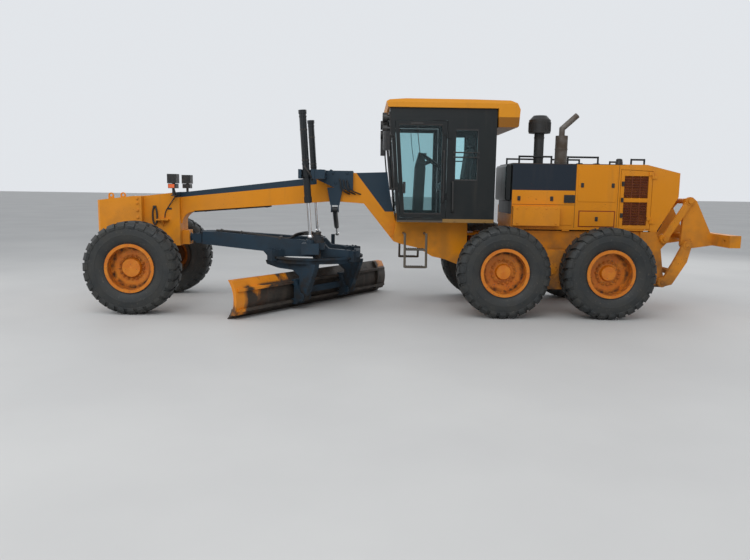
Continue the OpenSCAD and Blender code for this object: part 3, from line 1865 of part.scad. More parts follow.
main_frame();
push_block();
front_axle();
saddle();
cab_body();
cab_roof();
cab_glass();
cab_seat();
cab_console();
ladders();
lamps();
mirrors();
work_lamps();
lean_yoke();  // lean_yoke_left
right() lean_yoke();  // lean_yoke_right
knuckle();  // knuckle_left
right() knuckle();  // knuckle_right
wheel_place(0, 1) tyre();  // tyre_front_left
wheel_place(0, -1) tyre();  // tyre_front_right
wheel_place(0, 1) rim(front_disc_in, front_cap);  // rim_front_left
wheel_place(0, -1) rim(front_disc_in, front_cap);  // rim_front_right
drawbar_ball();
drawbar();
circle_drive();
turn_circle();
circle_teeth();
blade_carrier();
moldboard();
cutting_edge();
lift_tube();  // lift_tube_left
right() lift_tube();  // lift_tube_right
lift_rod();  // lift_rod_left
right() lift_rod();  // lift_rod_right
shift_tube();
shift_rod();
cab_door();  // cab_door_left
right() cab_door();  // cab_door_right
rear_frame();
tandem_axle();
engine();
hood();
stacks();
grille_door();  // grille_door_left
right() grille_door();  // grille_door_right
wheel_place(mid_back, 1) tyre();  // tyre_mid_left
wheel_place(mid_back, -1) tyre();  // tyre_mid_right
wheel_place(rear_back, 1) tyre();  // tyre_rear_left
wheel_place(rear_back, -1) tyre();  // tyre_rear_right
wheel_place(mid_back, 1) rim(rear_disc_in, rear_cap);  // rim_mid_left
wheel_place(mid_back, -1) rim(rear_disc_in, rear_cap);  // rim_mid_right
wheel_place(rear_back, 1) rim(rear_disc_in, rear_cap);  // rim_rear_left
wheel_place(rear_back, -1) rim(rear_disc_in, rear_cap);  // rim_rear_right
ripper_arms();
ripper_link();
ripper_beam();
ripper_tube();
ripper_rod();
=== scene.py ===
from math import asin, cos, pi, radians, sin, sqrt
import bmesh
import bpy
from mathutils import Matrix, Vector


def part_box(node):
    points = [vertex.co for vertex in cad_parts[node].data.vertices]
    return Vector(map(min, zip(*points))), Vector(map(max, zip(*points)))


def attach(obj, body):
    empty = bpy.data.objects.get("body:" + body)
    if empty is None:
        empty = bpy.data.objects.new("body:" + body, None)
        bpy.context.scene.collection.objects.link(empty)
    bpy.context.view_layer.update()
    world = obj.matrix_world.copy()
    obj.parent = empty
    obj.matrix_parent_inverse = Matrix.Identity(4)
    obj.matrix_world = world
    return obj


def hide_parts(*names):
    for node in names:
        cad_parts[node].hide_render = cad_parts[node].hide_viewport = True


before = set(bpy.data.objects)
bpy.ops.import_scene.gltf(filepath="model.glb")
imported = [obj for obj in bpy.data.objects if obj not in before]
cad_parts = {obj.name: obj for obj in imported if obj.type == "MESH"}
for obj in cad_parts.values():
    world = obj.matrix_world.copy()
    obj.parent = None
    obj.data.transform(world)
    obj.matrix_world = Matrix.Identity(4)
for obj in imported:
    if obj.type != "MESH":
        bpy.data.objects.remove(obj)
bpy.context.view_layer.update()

# Camera. It stands a little above eye height beside the machine's left side, as
# the photographer did, and looks slightly down. It was solved on the wheels,
# the cab and the blade; front_axle is the middle of the front axle in X.
front_axle = 4.0675
camera_data = bpy.data.cameras.new("camera")
camera_data.sensor_width = 36.0
camera_data.lens = 32.43
camera_data.clip_end = 400
camera = bpy.data.objects.new("camera", camera_data)
bpy.context.scene.collection.objects.link(camera)
bpy.context.scene.camera = camera
yaw, pitch, roll = radians(-0.93), radians(-7.71), radians(0.83)
ahead = Vector((sin(yaw) * cos(pitch), -cos(yaw) * cos(pitch), sin(pitch)))
level = ahead.cross(Vector((0, 0, 1))).normalized()
upright = level.cross(ahead)
camera_x = level * cos(roll) + upright * sin(roll)
camera_y = upright * cos(roll) - level * sin(roll)
camera.matrix_world = Matrix.Translation((front_axle - 3.359, 10.829, 1.855)) @ Matrix(
    (camera_x, camera_y, -ahead)).transposed().to_4x4()

# Ground and light. A plain pale floor stands in for the wet yard, under an even
# overcast sky with one wide soft lamp from above and behind the camera.
# The floor and the sky aren't part of the machine.
world = bpy.data.worlds.new("overcast")
bpy.context.scene.world = world
world.use_nodes = True
sky = world.node_tree.nodes["Background"]
sky.inputs["Color"].default_value = (0.93, 0.96, 1.0, 1)
bpy.context.scene.view_settings.view_transform = "Standard"
for lamp_name, place, power, width in (
        ("soft_sky_lamp", (2.0, 9.0, 9.0), 560, 9.0),
        ("front_fill_lamp", (11.0, 2.0, 6.0), 230, 6.0),
        ("back_fill_lamp", (-9.0, -7.0, 7.0), 260, 7.0)):
    lamp_data = bpy.data.lights.new(lamp_name, "AREA")
    lamp_data.energy = power
    lamp_data.size = width
    lamp = bpy.data.objects.new(lamp_name, lamp_data)
    bpy.context.scene.collection.objects.link(lamp)
    lamp.location = place
    lamp.rotation_euler = (Vector((0, 0, 1)) - Vector(place)).to_track_quat("-Z", "Y").to_euler()
bpy.ops.mesh.primitive_plane_add(size=300)
floor = bpy.context.object
floor.name = "floor"


def shader(name):
    """A new node material, its tree and the place of each point on its body."""
    material = bpy.data.materials.new(name)
    material.use_nodes = True
    return material, material.node_tree, add(material.node_tree, "TexCoord").outputs["Object"]


def add(tree, kind, sockets=(), **properties):
    """One shader node. sockets is a dict of input name or number to value or output."""
    new = tree.nodes.new("ShaderNode" + kind)
    for key, value in properties.items():
        setattr(new, key, value)
    for key, value in dict(sockets).items():
        if isinstance(value, bpy.types.NodeSocket):
            tree.links.new(value, new.inputs[key])
        else:
            new.inputs[key].default_value = value
    return new


def mixed(factor, first, second):
    """Colour first where factor is 0 and second where it is 1."""
    first = first if isinstance(first, bpy.types.NodeSocket) else (*first, 1)
    second = second if isinstance(second, bpy.types.NodeSocket) else (*second, 1)
    return add(factor.id_data, "Mix", {0: factor, 6: first, 7: second}, data_type="RGBA").outputs[2]


def ramp(value, low, high, start=0.0, end=1.0):
    """value from low to high becomes start to end, and stays there outside."""
    sockets = {"Value": value, "From Min": low, "From Max": high, "To Min": start, "To Max": end}
    return add(value.id_data, "MapRange", sockets).outputs[0]


def times(first, second, operation="MULTIPLY"):
    return add(first.id_data, "Math", {0: first, 1: second}, operation=operation).outputs[0]


def vectors(first, second, operation, output="Vector"):
    return add(first.id_data, "VectorMath", {0: first, 1: second}, operation=operation).outputs[output]


def speckle(place, scale, detail=3.0, stretch=(1, 1, 1)):
    """Noise from 0 to 1 at a scale per metre, drawn out along an axis by stretch."""
    tree = place.id_data
    if stretch != (1, 1, 1):
        place = add(tree, "Mapping", {"Vector": place, "Scale": stretch}).outputs[0]
    return add(tree, "TexNoise", {"Vector": place, "Scale": scale, "Detail": detail}).outputs[0]


def surface(colour, rough, metal=0.0, bump=(), **levels):
    """Sets the main shader's inputs, each to a value or a socket. bump is the height, its
    strength and depth in metres, and the radius of softened edges."""
    tree = colour.id_data
    main = tree.nodes["Principled BSDF"]
    wanted = {"Base Color": colour, "Roughness": rough, "Metallic": metal}
    wanted.update((key.replace("_", " "), value) for key, value in levels.items())
    if bump:
        sockets = dict(zip(("Height", "Strength", "Distance"), bump))
        if len(bump) > 3:
            sockets["Normal"] = add(tree, "Bevel", {"Radius": bump[3]}, samples=4).outputs[0]
        wanted["Normal"] = add(tree, "Bump", sockets).outputs[0]
    for key, value in wanted.items():
        if isinstance(value, bpy.types.NodeSocket):
            tree.links.new(value, main.inputs[key])
        else:
            main.inputs[key].default_value = value


# The sky looks paler to the camera and in reflections than it lights the machine.
tree = world.node_tree
seen = add(tree, "LightPath").outputs
direct = times(times(seen["Is Camera Ray"], seen["Is Glossy Ray"], "MAXIMUM"),
               seen["Is Transmission Ray"], "MAXIMUM")
tree.links.new(ramp(direct, 0.0, 1.0, 0.55, 0.82), sky.inputs["Strength"])
concrete, tree, place = shader("pale_floor")
cloudy = ramp(speckle(place, 0.35, 5.0), 0.35, 0.7)
surface(mixed(cloudy, (0.57, 0.57, 0.565), (0.63, 0.63, 0.62)), 0.6, Specular_IOR_Level=0.2)
floor.data.materials.append(concrete)

# Main frame. The beam from the nose to the cab, its arch and the belly under the
# cab are welded from steel plate and sprayed orange-yellow. The top plate, the
# arch and the drawbar are slate blue, and the wet yard has dirtied what hangs low.
machine_yellow = (0.74, 0.262, 0.004)
machine_slate = (0.014, 0.034, 0.055)
cab_black = (0.009, 0.012, 0.013)
road_dirt = (0.085, 0.066, 0.05)
bare_rust = (0.12, 0.042, 0.016)


def inside(place, sides, soft=0.0015):
    """1 where every side (a, b, c, d) has a*x + b*y + c*z > d, and 0 elsewhere."""
    result = None
    for *normal, edge in sides:
        along = vectors(place, normal, "DOT_PRODUCT", "Value")
        step = ramp(along, edge - soft, edge + soft)
        result = step if result is None else times(result, step)
    return result


def painted(name, colour, areas=(), mud=0.6, rust=0.5, gloss=0.42, faded=0.25, soil=road_dirt):
    """Weathered machine paint. areas is a list of (sides, colour) for panels sprayed otherwise."""
    material, tree, place = shader(name)
    height = add(tree, "SeparateXYZ", {0: place}).outputs["Z"]
    base = add(tree, "RGB").outputs[0]
    base.default_value = (*colour, 1)
    for sides, other in areas:
        base = mixed(inside(place, sides), base, other)
    chalk = ramp(speckle(place, 1.1, 4.0), 0.42, 0.75, 0.0, faded)
    paler = add(tree, "HueSaturation", {"Saturation": 0.94, "Value": 1.12, "Color": base}).outputs[0]
    base = mixed(chalk, base, paler)
    runs = ramp(speckle(place, 7.0, 5.0, (1, 1, 0.09)), 0.56, 0.76, 0.0, 0.35)
    low = ramp(height, 1.75, 0.25, 0.05, 1.0)
    blot = ramp(speckle(place, 4.2, 8.0), 0.4, 0.66)
    dirt = times(times(low, blot), mud)
    dirt = times(dirt, times(runs, mud), "MAXIMUM")
    base = mixed(dirt, base, soil)
    pits = ramp(speckle(place, 46.0, 3.0), 0.66, 0.7)
    patch = ramp(speckle(place, 2.3, 3.0), 0.5, 0.62)
    chips = times(times(pits, patch), rust)
    base = mixed(chips, base, bare_rust)
    grain = times(speckle(place, 210.0, 2.0), times(dirt, 3.0), "MULTIPLY_ADD")
    surface(base, ramp(times(dirt, chips, "ADD"), 0.0, 0.6, gloss, 0.85),
            bump=(grain, 0.12, 0.002, 0.004), Specular_IOR_Level=0.3)
    return material


def dress(material, *names):
    """The CAD nodes of these names take this material."""
    for name in names:
        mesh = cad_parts[name].data
        mesh.materials.clear()
        mesh.materials.append(material)


def over_line(x, z, slope):
    """What lies above a line through x and z in side view, X from the front axle."""
    return (-slope, 0, 1, z - slope * (front_axle + x))


def above(z):
    return (0, 0, 1, z)


def below(z):
    return (0, 0, -1, -z)


def ahead_of(x):
    return (1, 0, 0, front_axle + x)


def behind(x):
    return (-1, 0, 0, -front_axle - x)


beam_stripe = [over_line(-0.58, 1.69, -0.108), ahead_of(-2.6), behind(-0.4)]
arch_panel = [above(1.5), behind(-2.6), over_line(-3.34, 1.93, 1.3)]
frame_paint = painted("frame_paint", machine_yellow,
                      [(beam_stripe, machine_slate), (arch_panel, machine_slate)])
dress(frame_paint, "main_frame")

# Tyres. Six radial tyres, about 1.34 m across and 0.44 m wide: a smooth bulged
# sidewall with moulded rings, and a tread of slanted rubber bars that wrap over
# the shoulder. One is built about the Y axis, outer face to +Y, and copied.
tyre_radius = wheel_height = 0.672
tread_depth = 0.028
both_sides = ((1, "left"), (-1, "right"))
# Each axle's X and half its track.
wheels = {"front": (0.0, 1.02), "mid": (-5.39, 1.02), "rear": (-6.93, 1.02)}


def finish_piece(name, shape, material, body, smooth=35, bevel=0.0):
    """Turns a bmesh, with X from the front axle, into a piece that rides on a CAD body."""
    bmesh.ops.remove_doubles(shape, verts=shape.verts, dist=0.00005)
    bmesh.ops.translate(shape, verts=shape.verts, vec=(front_axle, 0, 0))
    bmesh.ops.recalc_face_normals(shape, faces=shape.faces)
    limit = radians(smooth)
    for face in shape.faces:
        face.smooth = True
    for edge in shape.edges:
        edge.smooth = len(edge.link_faces) == 2 and edge.calc_face_angle(3.2) < limit
    mesh = bpy.data.meshes.new(name)
    shape.to_mesh(mesh)
    shape.free()
    made = bpy.data.objects.new(name, mesh)
    bpy.context.scene.collection.objects.link(made)
    mesh.materials.append(material)
    if bevel:
        rounding = made.modifiers.new("rounding", "BEVEL")
        rounding.width = bevel
        rounding.segments = 2
        rounding.limit_method = "ANGLE"
        rounding.angle_limit = radians(40)
    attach(made, body)
    return made


def turns(count, start=0.0):
    """Evenly spaced angles round a circle."""
    return [2 * pi * (n + start) / count for n in range(count)]


def lathe(shape, profile, steps=64, origin=(0, 0, 0), axis=(0, 1, 0)):
    """Turns a profile of (radius, distance along axis) into a ring or a disc."""
    turn = Vector((0, 1, 0)).rotation_difference(Vector(axis)).to_matrix()
    rings = []
    for radius, along in profile:
        if radius < 1e-6:
            rings.append([shape.verts.new(Vector(origin) + turn @ Vector((0, along, 0)))])
            continue
        rings.append([shape.verts.new(Vector(origin) + turn @ Vector((
            radius * cos(a), along, radius * sin(a)))) for a in turns(steps)])
    for low, high in zip(rings, rings[1:]):
        for i in range(steps):
            j = (i + 1) % steps
            corners = [low[i % len(low)], low[j % len(low)], high[j % len(high)], high[i % len(high)]]
            corners = [c for n, c in enumerate(corners) if c not in corners[:n]]
            if len(corners) > 2:
                shape.faces.new(corners)


def prism(shape, sections):
    """Joins sections with the same number of corners into one closed bar."""
    rings = [[shape.verts.new(corner) for corner in section] for section in sections]
    count = len(rings[0])
    for low, high in zip(rings, rings[1:]):
        for i in range(count):
            shape.faces.new((low[i], low[(i + 1) % count], high[(i + 1) % count], high[i]))
    shape.faces.new(rings[0])
    shape.faces.new(reversed(rings[-1]))


def on_wheel(radius, angle, across):
    return Vector((radius * cos(angle), across, radius * sin(angle)))


carcass = tyre_radius - tread_depth
tyre_shape = bmesh.new()
half_profile = [(0.321, 0.15), (0.345, 0.168), (0.366, 0.172), (0.372, 0.178), (0.4, 0.196),
                (0.44, 0.211), (0.475, 0.2165), (0.478, 0.2195), (0.492, 0.2195), (0.495, 0.2175),
                (0.54, 0.2155), (0.57, 0.21), (0.573, 0.213), (0.585, 0.212), (0.588, 0.206),
                (0.612, 0.196), (carcass - 0.008, 0.178), (carcass, 0.15), (carcass + 0.002, 0.05)]
lathe(tyre_shape, [(r, -a) for r, a in half_profile] + [(r, a) for r, a in reversed(half_profile)]
      + [(0.321, -0.15)], 96)
bars_per_side = 27
# A bar's path over the tread: distance from the middle, drop of its top below the
# tyre's radius, and its lag and half width as shares of the pitch.
bar_path = [(0.012, 0, 0.1, 0.3), (0.06, 0, 0.16, 0.31), (0.115, 0.001, 0.3, 0.34), (0.168, 0.006, 0.4, 0.36),
            (0.196, 0.024, 0.44, 0.36), (0.2195, 0.062, 0.46, 0.33), (0.2185, 0.096, 0.47, 0.28)]
pitch_angle = 2 * pi / bars_per_side
for side in (1, -1):
    for bar in range(bars_per_side):
        start = pitch_angle * (bar + (0.5 if side < 0 else 0.0))
        sections = []
        for n, (across, drop, lag, half) in enumerate(bar_path):
            top = tyre_radius - drop
            middle = start + lag * pitch_angle
            foot = min(top - 0.004, carcass - 0.01) if n < 4 else top - 0.03
            low_across = across if n < 4 else across - 0.035
            spread = pitch_angle * half
            sections.append([on_wheel(foot, middle - spread * 1.12, side * low_across),
                             on_wheel(top, middle - spread, side * across),
                             on_wheel(top, middle + spread, side * across),
                             on_wheel(foot, middle + spread * 1.12, side * low_across)])
        prism(tyre_shape, sections)
for link in range(bars_per_side * 2):
    middle = pitch_angle * link / 2
    outline = ((-0.01, -0.05), (0.014, -0.045), (0.014, 0.045), (-0.01, 0.05))
    prism(tyre_shape, [[on_wheel(carcass + rise, middle + a, y) for rise, a in outline]
                       for y in (-0.03, 0.03)])
rubber, tree, place = shader("tyre_rubber")
spots = speckle(place, 5.0, 9.0)
dust = ramp(spots, 0.38, 0.72, 0.0, 0.8)
base = mixed(dust, (0.016, 0.019, 0.02), (0.05, 0.049, 0.044))
splash = ramp(speckle(place, 30.0, 4.0), 0.62, 0.72, 0.0, 0.5)
surface(mixed(splash, base, (0.11, 0.095, 0.078)), ramp(spots, 0.35, 0.7, 0.5, 0.85),
        bump=(speckle(place, 90.0, 5.0), 0.25, 0.003))
for axle, (back, half_track) in wheels.items():
    for side, hand in both_sides:
        shape = tyre_shape.copy()
        turn = Matrix.Rotation(0.7 * back + side, 4, "Y")
        flip = Matrix.Diagonal((1, side, 1, 1))
        hub = Matrix.Translation((back, side * half_track, wheel_height))
        bmesh.ops.transform(shape, matrix=hub @ flip @ turn, verts=shape.verts)
        tyre = finish_piece(f"tyre_{axle}_{hand}_tread", shape, rubber, f"wheel_{axle}_{hand}",
                            28)
        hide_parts(f"tyre_{axle}_{hand}")
tyre_shape.free()

# Rims and hubs. Pressed steel rims in a deeper orange, held by a ring of sixteen
# wheel nuts on studs; the front ones have a flat hub cap, the tandem's a domed
# one. The dish, a ring round the nuts and the inner face are darkened, partly as
# dirt and partly as painted shade in these recesses. A valve stem stands in each.
rim_dirt_and_shade = (0.04, 0.02, 0.01)
rim_half_width, nut_ring, valve_ring = 0.186, 0.168, 0.26
for axle, (back, half_track) in wheels.items():
    rim_depth = 0.15 if axle == "front" else 0.17
    for side, hand in both_sides:
        hub = Vector((back, side * half_track, wheel_height))
        material, tree, place = shader(f"rim_paint_{axle}_{hand}")
        middle = (front_axle + back, hub.y, hub.z)
        from_hub = vectors(place, middle, "SUBTRACT")
        distance = vectors(vectors(from_hub, (1, 0, 1), "MULTIPLY"), (0, 0, 0), "LENGTH", "Value")
        chalk = ramp(speckle(place, 9.0, 6.0), 0.4, 0.7)
        base = mixed(chalk, (0.62, 0.165, 0.003), (0.7, 0.235, 0.01))
        # Dirt and painted shade: a dark band in the dish, a weaker one round the nuts and the whole inner
        # face, broken up by noise.
        in_dish = times(ramp(distance, 0.235, 0.275), ramp(distance, 0.318, 0.296))
        around_nuts = times(ramp(distance, 0.12, 0.15), ramp(distance, 0.2, 0.175))
        dirt_and_shade = times(in_dish, times(around_nuts, 0.4), "MAXIMUM")
        dirt_and_shade = times(dirt_and_shade, ramp(speckle(place, 13.0, 7.0), 0.3, 0.62))
        inner = add(tree, "SeparateXYZ", {0: from_hub}).outputs["Y"]
        dirt_and_shade = times(dirt_and_shade, ramp(inner, side * 0.02, side * -0.03), "MAXIMUM")
        base = mixed(dirt_and_shade, base, rim_dirt_and_shade)
        splash = ramp(speckle(place, 42.0, 3.0), 0.64, 0.7, 0.0, 0.7)
        surface(mixed(splash, base, road_dirt), ramp(dirt_and_shade, 0.0, 0.6, 0.42, 0.85),
                bump=(speckle(place, 120.0, 3.0), 0.15, 0.002, 0.004))
        dress(material, f"rim_{axle}_{hand}")
        face_y = side * (half_track + rim_half_width - rim_depth)
        shape = bmesh.new()
        for a in turns(16):
            spot = (hub.x + nut_ring * cos(a), face_y, hub.z + nut_ring * sin(a))
            lathe(shape, [(0, 0.004), (0.023, 0.004), (0.023, 0.009), (0, 0.009)], 14, spot, (0, side, 0))
            lathe(shape, [(0.0165, 0.0), (0.0165, 0.026), (0.013, 0.03), (0, 0.03)], 6, spot, (0, side, 0))
            lathe(shape, [(0.008, 0.02), (0.008, 0.042), (0, 0.044)], 8, spot, (0, side, 0))
        valve = (hub.x + valve_ring, face_y, hub.z - 0.06)
        lathe(shape, [(0.006, 0.0), (0.006, 0.05), (0.008, 0.05), (0.008, 0.062), (0, 0.064)], 8,
              valve, (0, side, 0))
        finish_piece(f"wheel_nuts_{axle}_{hand}", shape, material, f"wheel_{axle}_{hand}")

# Push block and nose. A welded block bolted on the nose by a flange, painted like
# the frame and chipped at its edges. The nose has a towing link of round bar on
# each side, and black wires to its lamps. Oil lines run in clamps under the beam.


def tube(shape, points, radius, sides=10, steps=6):
    """A round tube along a smooth curve through the points."""
    points = [Vector(p) for p in points]
    ends = [points[0] * 2 - points[1]] + points + [points[-1] * 2 - points[-2]]
    path = []
    for a, b, c, d in zip(ends, ends[1:], ends[2:], ends[3:]):
        for n in range(steps):
            t = n / steps
            path.append(0.5 * (2 * b + (c - a) * t + (2 * a - 5 * b + 4 * c - d) * t * t
                               + (3 * b - a - 3 * c + d) * t ** 3))
    path.append(points[-1])
    side = None
    rings = []
    for n, spot in enumerate(path):
        along = (path[min(n + 1, len(path) - 1)] - path[max(n - 1, 0)]).normalized()
        side = along.orthogonal() if side is None else side - along * side.dot(along)
        side.normalize()
        up = along.cross(side)
        rings.append([spot + radius * (side * cos(a) + up * sin(a)) for a in turns(sides)])
    prism(shape, rings)


def slab(shape, low, high, chamfer=0.0):
    """A box between two corners, its edges along Y cut off by chamfer."""
    (x0, x1), (y0, y1), (z0, z1) = map(sorted, zip(low, high))
    c = chamfer
    outline = [(x0 + c, z0), (x1 - c, z0), (x1, z0 + c), (x1, z1 - c), (x1 - c, z1), (x0 + c, z1),
               (x0, z1 - c), (x0, z0 + c)] if c else [(x0, z0), (x1, z0), (x1, z1), (x0, z1)]
    prism(shape, [[(x, y, z) for x, z in outline] for y in (y0, y1)])


def bolt(shape, spot, axis, across=0.024):
    """A hexagon head on a washer, standing on a face."""
    lathe(shape, [(0, -0.001), (across * 0.78, -0.001), (across * 0.78, 0.003), (0, 0.003)], 14, spot, axis)
    lathe(shape, [(across * 0.56, 0.002), (across * 0.56, across * 0.52), (across * 0.46, across * 0.64),
                  (0, across * 0.64)], 6, spot, axis)


def glossy(name, colour, rough=0.35, metal=0.0, wear=0.3, scale=30.0):
    """A plain hard finish with blotches of dust and a fine grain."""
    material, tree, place = shader(name)
    spots = ramp(speckle(place, scale, 5.0), 0.45, 0.72, 0.0, wear)
    surface(mixed(spots, colour, road_dirt), ramp(spots, 0.0, 0.5, rough, 0.8), metal,
            (speckle(place, scale * 9, 3.0), 0.1, 0.001))
    return material


def lens(name, colour, glow=0.0):
    """A moulded lens: clear plastic over a ribbed reflector."""
    material, tree, place = shader(name)
    ribs = add(tree, "TexWave", {"Vector": place, "Scale": 28.0, "Distortion": 0.4}).outputs[1]
    bright = tuple(min(1.0, c * 1.6) for c in colour)
    surface(mixed(ribs, colour, bright), 0.12, bump=(ribs, 0.4, 0.003), Coat_Weight=0.8,
            Emission_Color=(*colour, 1), Emission_Strength=glow)
    return material


black_plastic = glossy("black_plastic_trim", (0.014, 0.015, 0.016), 0.45)
dark_steel = glossy("dark_steel", (0.055, 0.052, 0.05), 0.42, 0.75, 0.45)
hose_rubber = glossy("hose_rubber", (0.012, 0.012, 0.013), 0.55, 0.0, 0.6, 14.0)
clear_lens = lens("clear_lens", (0.55, 0.6, 0.62))
orange_lens = lens("orange_lens", (0.75, 0.1, 0.008), 0.06)
push_paint = painted("push_block_paint", machine_yellow, mud=0.75, rust=0.9, faded=0.35)
dress(push_paint, "push_block")
block_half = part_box("push_block")[1][1]
nose_face = 0.24
flange_x = 0.13
shape = bmesh.new()
for side in (1, -1):
    for z in (1.36, 1.47, 1.58, 1.65):
        bolt(shape, (flange_x, side * block_half, z), (0, side, 0), 0.03)
finish_piece("push_block_bolts", shape, push_paint, "front_frame")
shape = bmesh.new()
for side in (1, -1):
    y = side * (nose_face + 0.014)
    tube(shape, [(-0.1 + 0.034 * cos(a), y, 1.39 + 0.135 * sin(a)) for a in turns(12) + [2 * pi]], 0.0135)
    slab(shape, (-0.125, side * nose_face, 1.515), (-0.075, side * (nose_face + 0.03), 1.545), 0.006)
    slab(shape, (-0.36, side * nose_face, 1.485), (-0.3, side * (nose_face + 0.004), 1.515))
finish_piece("nose_towing_links", shape, dark_steel, "front_frame")
shape = bmesh.new()


def beam_under(x):
    """Height of the beam's underside at x behind the front axle."""
    return 1.45 - 0.0826 * (x + 0.47)


for y in (-0.105, -0.078, 0.078, 0.105):
    tube(shape, [(x, y, beam_under(x) - 0.012) for x in (-0.66, -1.05, -1.45, -1.86)], 0.0105, 8, 4)
for side in (1, -1):
    for x in (-0.85, -1.33, -1.81):
        slab(shape, (x - 0.02, side * 0.0915 - 0.03, beam_under(x) - 0.026),
             (x + 0.02, side * 0.0915 + 0.03, beam_under(x) + 0.001), 0.004)
finish_piece("beam_oil_lines", shape, hose_rubber, "front_frame")
shape = bmesh.new()
for side in (1, -1):
    tube(shape, [(x, side * y, z) for x, y, z in (
        (-0.452, 0.405, 1.8), (-0.462, 0.36, 1.725), (-0.44, 0.268, 1.715), (-0.36, 0.253, 1.6),
        (-0.27, 0.252, 1.46), (-0.25, 0.253, 1.36))], 0.008, 8)
finish_piece("lamp_wires", shape, hose_rubber, "front_frame")

# Lamps. Black plastic headlamp housings stand on the nose's brackets, with orange
# turn lamps below them, and round work lamps on the cab's front corners. Clear
# moulded lenses sit in their rims.
lamp_paint = glossy("lamp_housing", (0.01, 0.011, 0.012), 0.38, 0.0, 0.35)
dress(lamp_paint, "lamps", "work_lamps", "mirrors")
shape, glow_shape = bmesh.new(), bmesh.new()
lamp_x, lamp_y = -0.48, 0.41
for side in (1, -1):
    y = side * lamp_y
    slab(shape, (lamp_x + 0.0975, y - 0.07, 1.905), (lamp_x + 0.104, y + 0.07, 2.015))
    lathe(shape, [(0, 0.1035), (0.048, 0.1055), (0.05, 0.1035)], 24, (lamp_x, y, 1.96), (1, 0, 0))
    for out in (0.0, 1.0):
        outer = y + side * out * 0.0755
        slab(glow_shape, (lamp_x - 0.015 + out * 0.02, y - (0.0 if out else 0.066), 1.822),
             (lamp_x + (0.095 if out else 0.1035), outer + (0.0 if out else 0.066), 1.878), 0.004)
for side in (1, -1):
    for z in (2.735, 2.895):
        lathe(shape, [(0, 0.009), (0.045, 0.007), (0.0625, 0.001), (0, 0.001)], 32,
              (-3.6127, side * 0.62, z), (1, 0, 0))
finish_piece("lamp_lenses", shape, clear_lens, "front_frame")
finish_piece("turn_lamp_lenses", glow_shape, orange_lens, "front_frame")

# Drawbar. Two slate girders meet at the ball and carry the circle in shoes. Steel
# lines and hoses run along its top in clamps to the swivel and the circle's motor,
# greasy and caked with dirt.
oily_mud = (0.026, 0.022, 0.019)
drawbar_paint = painted("drawbar_paint", machine_slate, mud=0.7, rust=0.3, faded=0.5, gloss=0.5,
                        soil=oily_mud)
dress(drawbar_paint, "drawbar", "drawbar_ball", "blade_carrier")
circle_middle = -2.57
shape = bmesh.new()
for n, y in enumerate((-0.055, -0.02, 0.015, 0.05, 0.085)):
    lift = 0.014 + 0.004 * (n % 2)
    near, far = 0.115 + 0.3 * y, 0.2 + y
    end_angle = radians(150 + 15 * n)
    end = (circle_middle - 0.1 * cos(end_angle), 0.1 * sin(end_angle), 1.078)
    tube(shape, [(-1.02, near, 1.15 + lift), (-1.4, near + 0.03, 1.126 + lift),
                 (-1.86, far + 0.05, 1.08 + lift), (-2.16, far + 0.09, 1.052 + lift),
                 (-2.3, far - 0.02, 1.105 + 0.008 * n), (end[0] + 0.03, end[1] * 1.2, 1.118 + 0.007 * n),
                 end], 0.0135, 10, 6)
    lathe(shape, [(0, 0.0), (0.02, 0.0), (0.02, 0.03), (0.0145, 0.034), (0, 0.034)], 8,
          (end[0], end[1], 1.082), (0, 0, 1))
finish_piece("drawbar_hoses", shape, hose_rubber, "drawbar_body")
shape = bmesh.new()
for x, z, y0, y1 in ((-1.1, 1.146, 0.07, 0.17), (-1.42, 1.122, 0.09, 0.2), (-2.05, 1.062, 0.18, 0.4)):
    slab(shape, (x - 0.02, y0, z - 0.006), (x + 0.02, y1, z + 0.036), 0.005)
    bolt(shape, (x, (y0 + y1) / 2, z + 0.034), (0, 0, 1), 0.018)
lathe(shape, [(0, 0.0), (0.125, 0.0), (0.125, 0.012), (0.07, 0.016), (0.062, 0.06), (0, 0.064)], 40,
      (circle_middle, 0, 1.0801), (0, 0, 1))
for a in turns(8):
    bolt(shape, (circle_middle + 0.105 * cos(a), 0.105 * sin(a), 1.091), (0, 0, 1), 0.02)
finish_piece("drawbar_clamps", shape, dark_steel, "drawbar_body")
# The motor's pinion runs on a circle of 0.583 m round the ring's middle.
motor = Vector((circle_middle - 0.08, sqrt(0.583 ** 2 - 0.08 ** 2), 1.03))
drive_paint = painted("drive_paint", (0.02, 0.026, 0.034), mud=1.0, rust=0.8, faded=0.2)
dress(drive_paint, "circle_drive")
shape = bmesh.new()
lathe(shape, [(0, 0.12), (0.046, 0.12), (0.046, 0.15), (0.038, 0.158), (0, 0.158)], 28, motor, (0, 0, 1))
for turn in (0.5, 1.9):
    start = motor + Vector((0.05 * cos(turn), 0.05 * sin(turn), 0.135))
    tube(shape, [start, start + Vector((0.05 * cos(turn), -0.08, 0.02)),
                 Vector((motor.x + 0.12, 0.44, 1.15)), Vector((motor.x + 0.16, 0.28 + 0.05 * turn, 1.09)),
                 Vector((circle_middle + 0.07, 0.1 + 0.02 * turn, 1.115))], 0.0125, 10, 6)
finish_piece("circle_motor_hoses", shape, hose_rubber, "drawbar_body")
shape = bmesh.new()
for angle in (35, 145, 215, 325):
    a = radians(angle)
    for across in (-0.045, 0.045):
        for r in (0.64, 0.75):
            spot = (circle_middle + r * cos(a) - across * sin(a), r * sin(a) + across * cos(a), 0.9)
            bolt(shape, spot, (0, 0, 1), 0.028)
finish_piece("circle_shoe_bolts", shape, drawbar_paint, "drawbar_body")

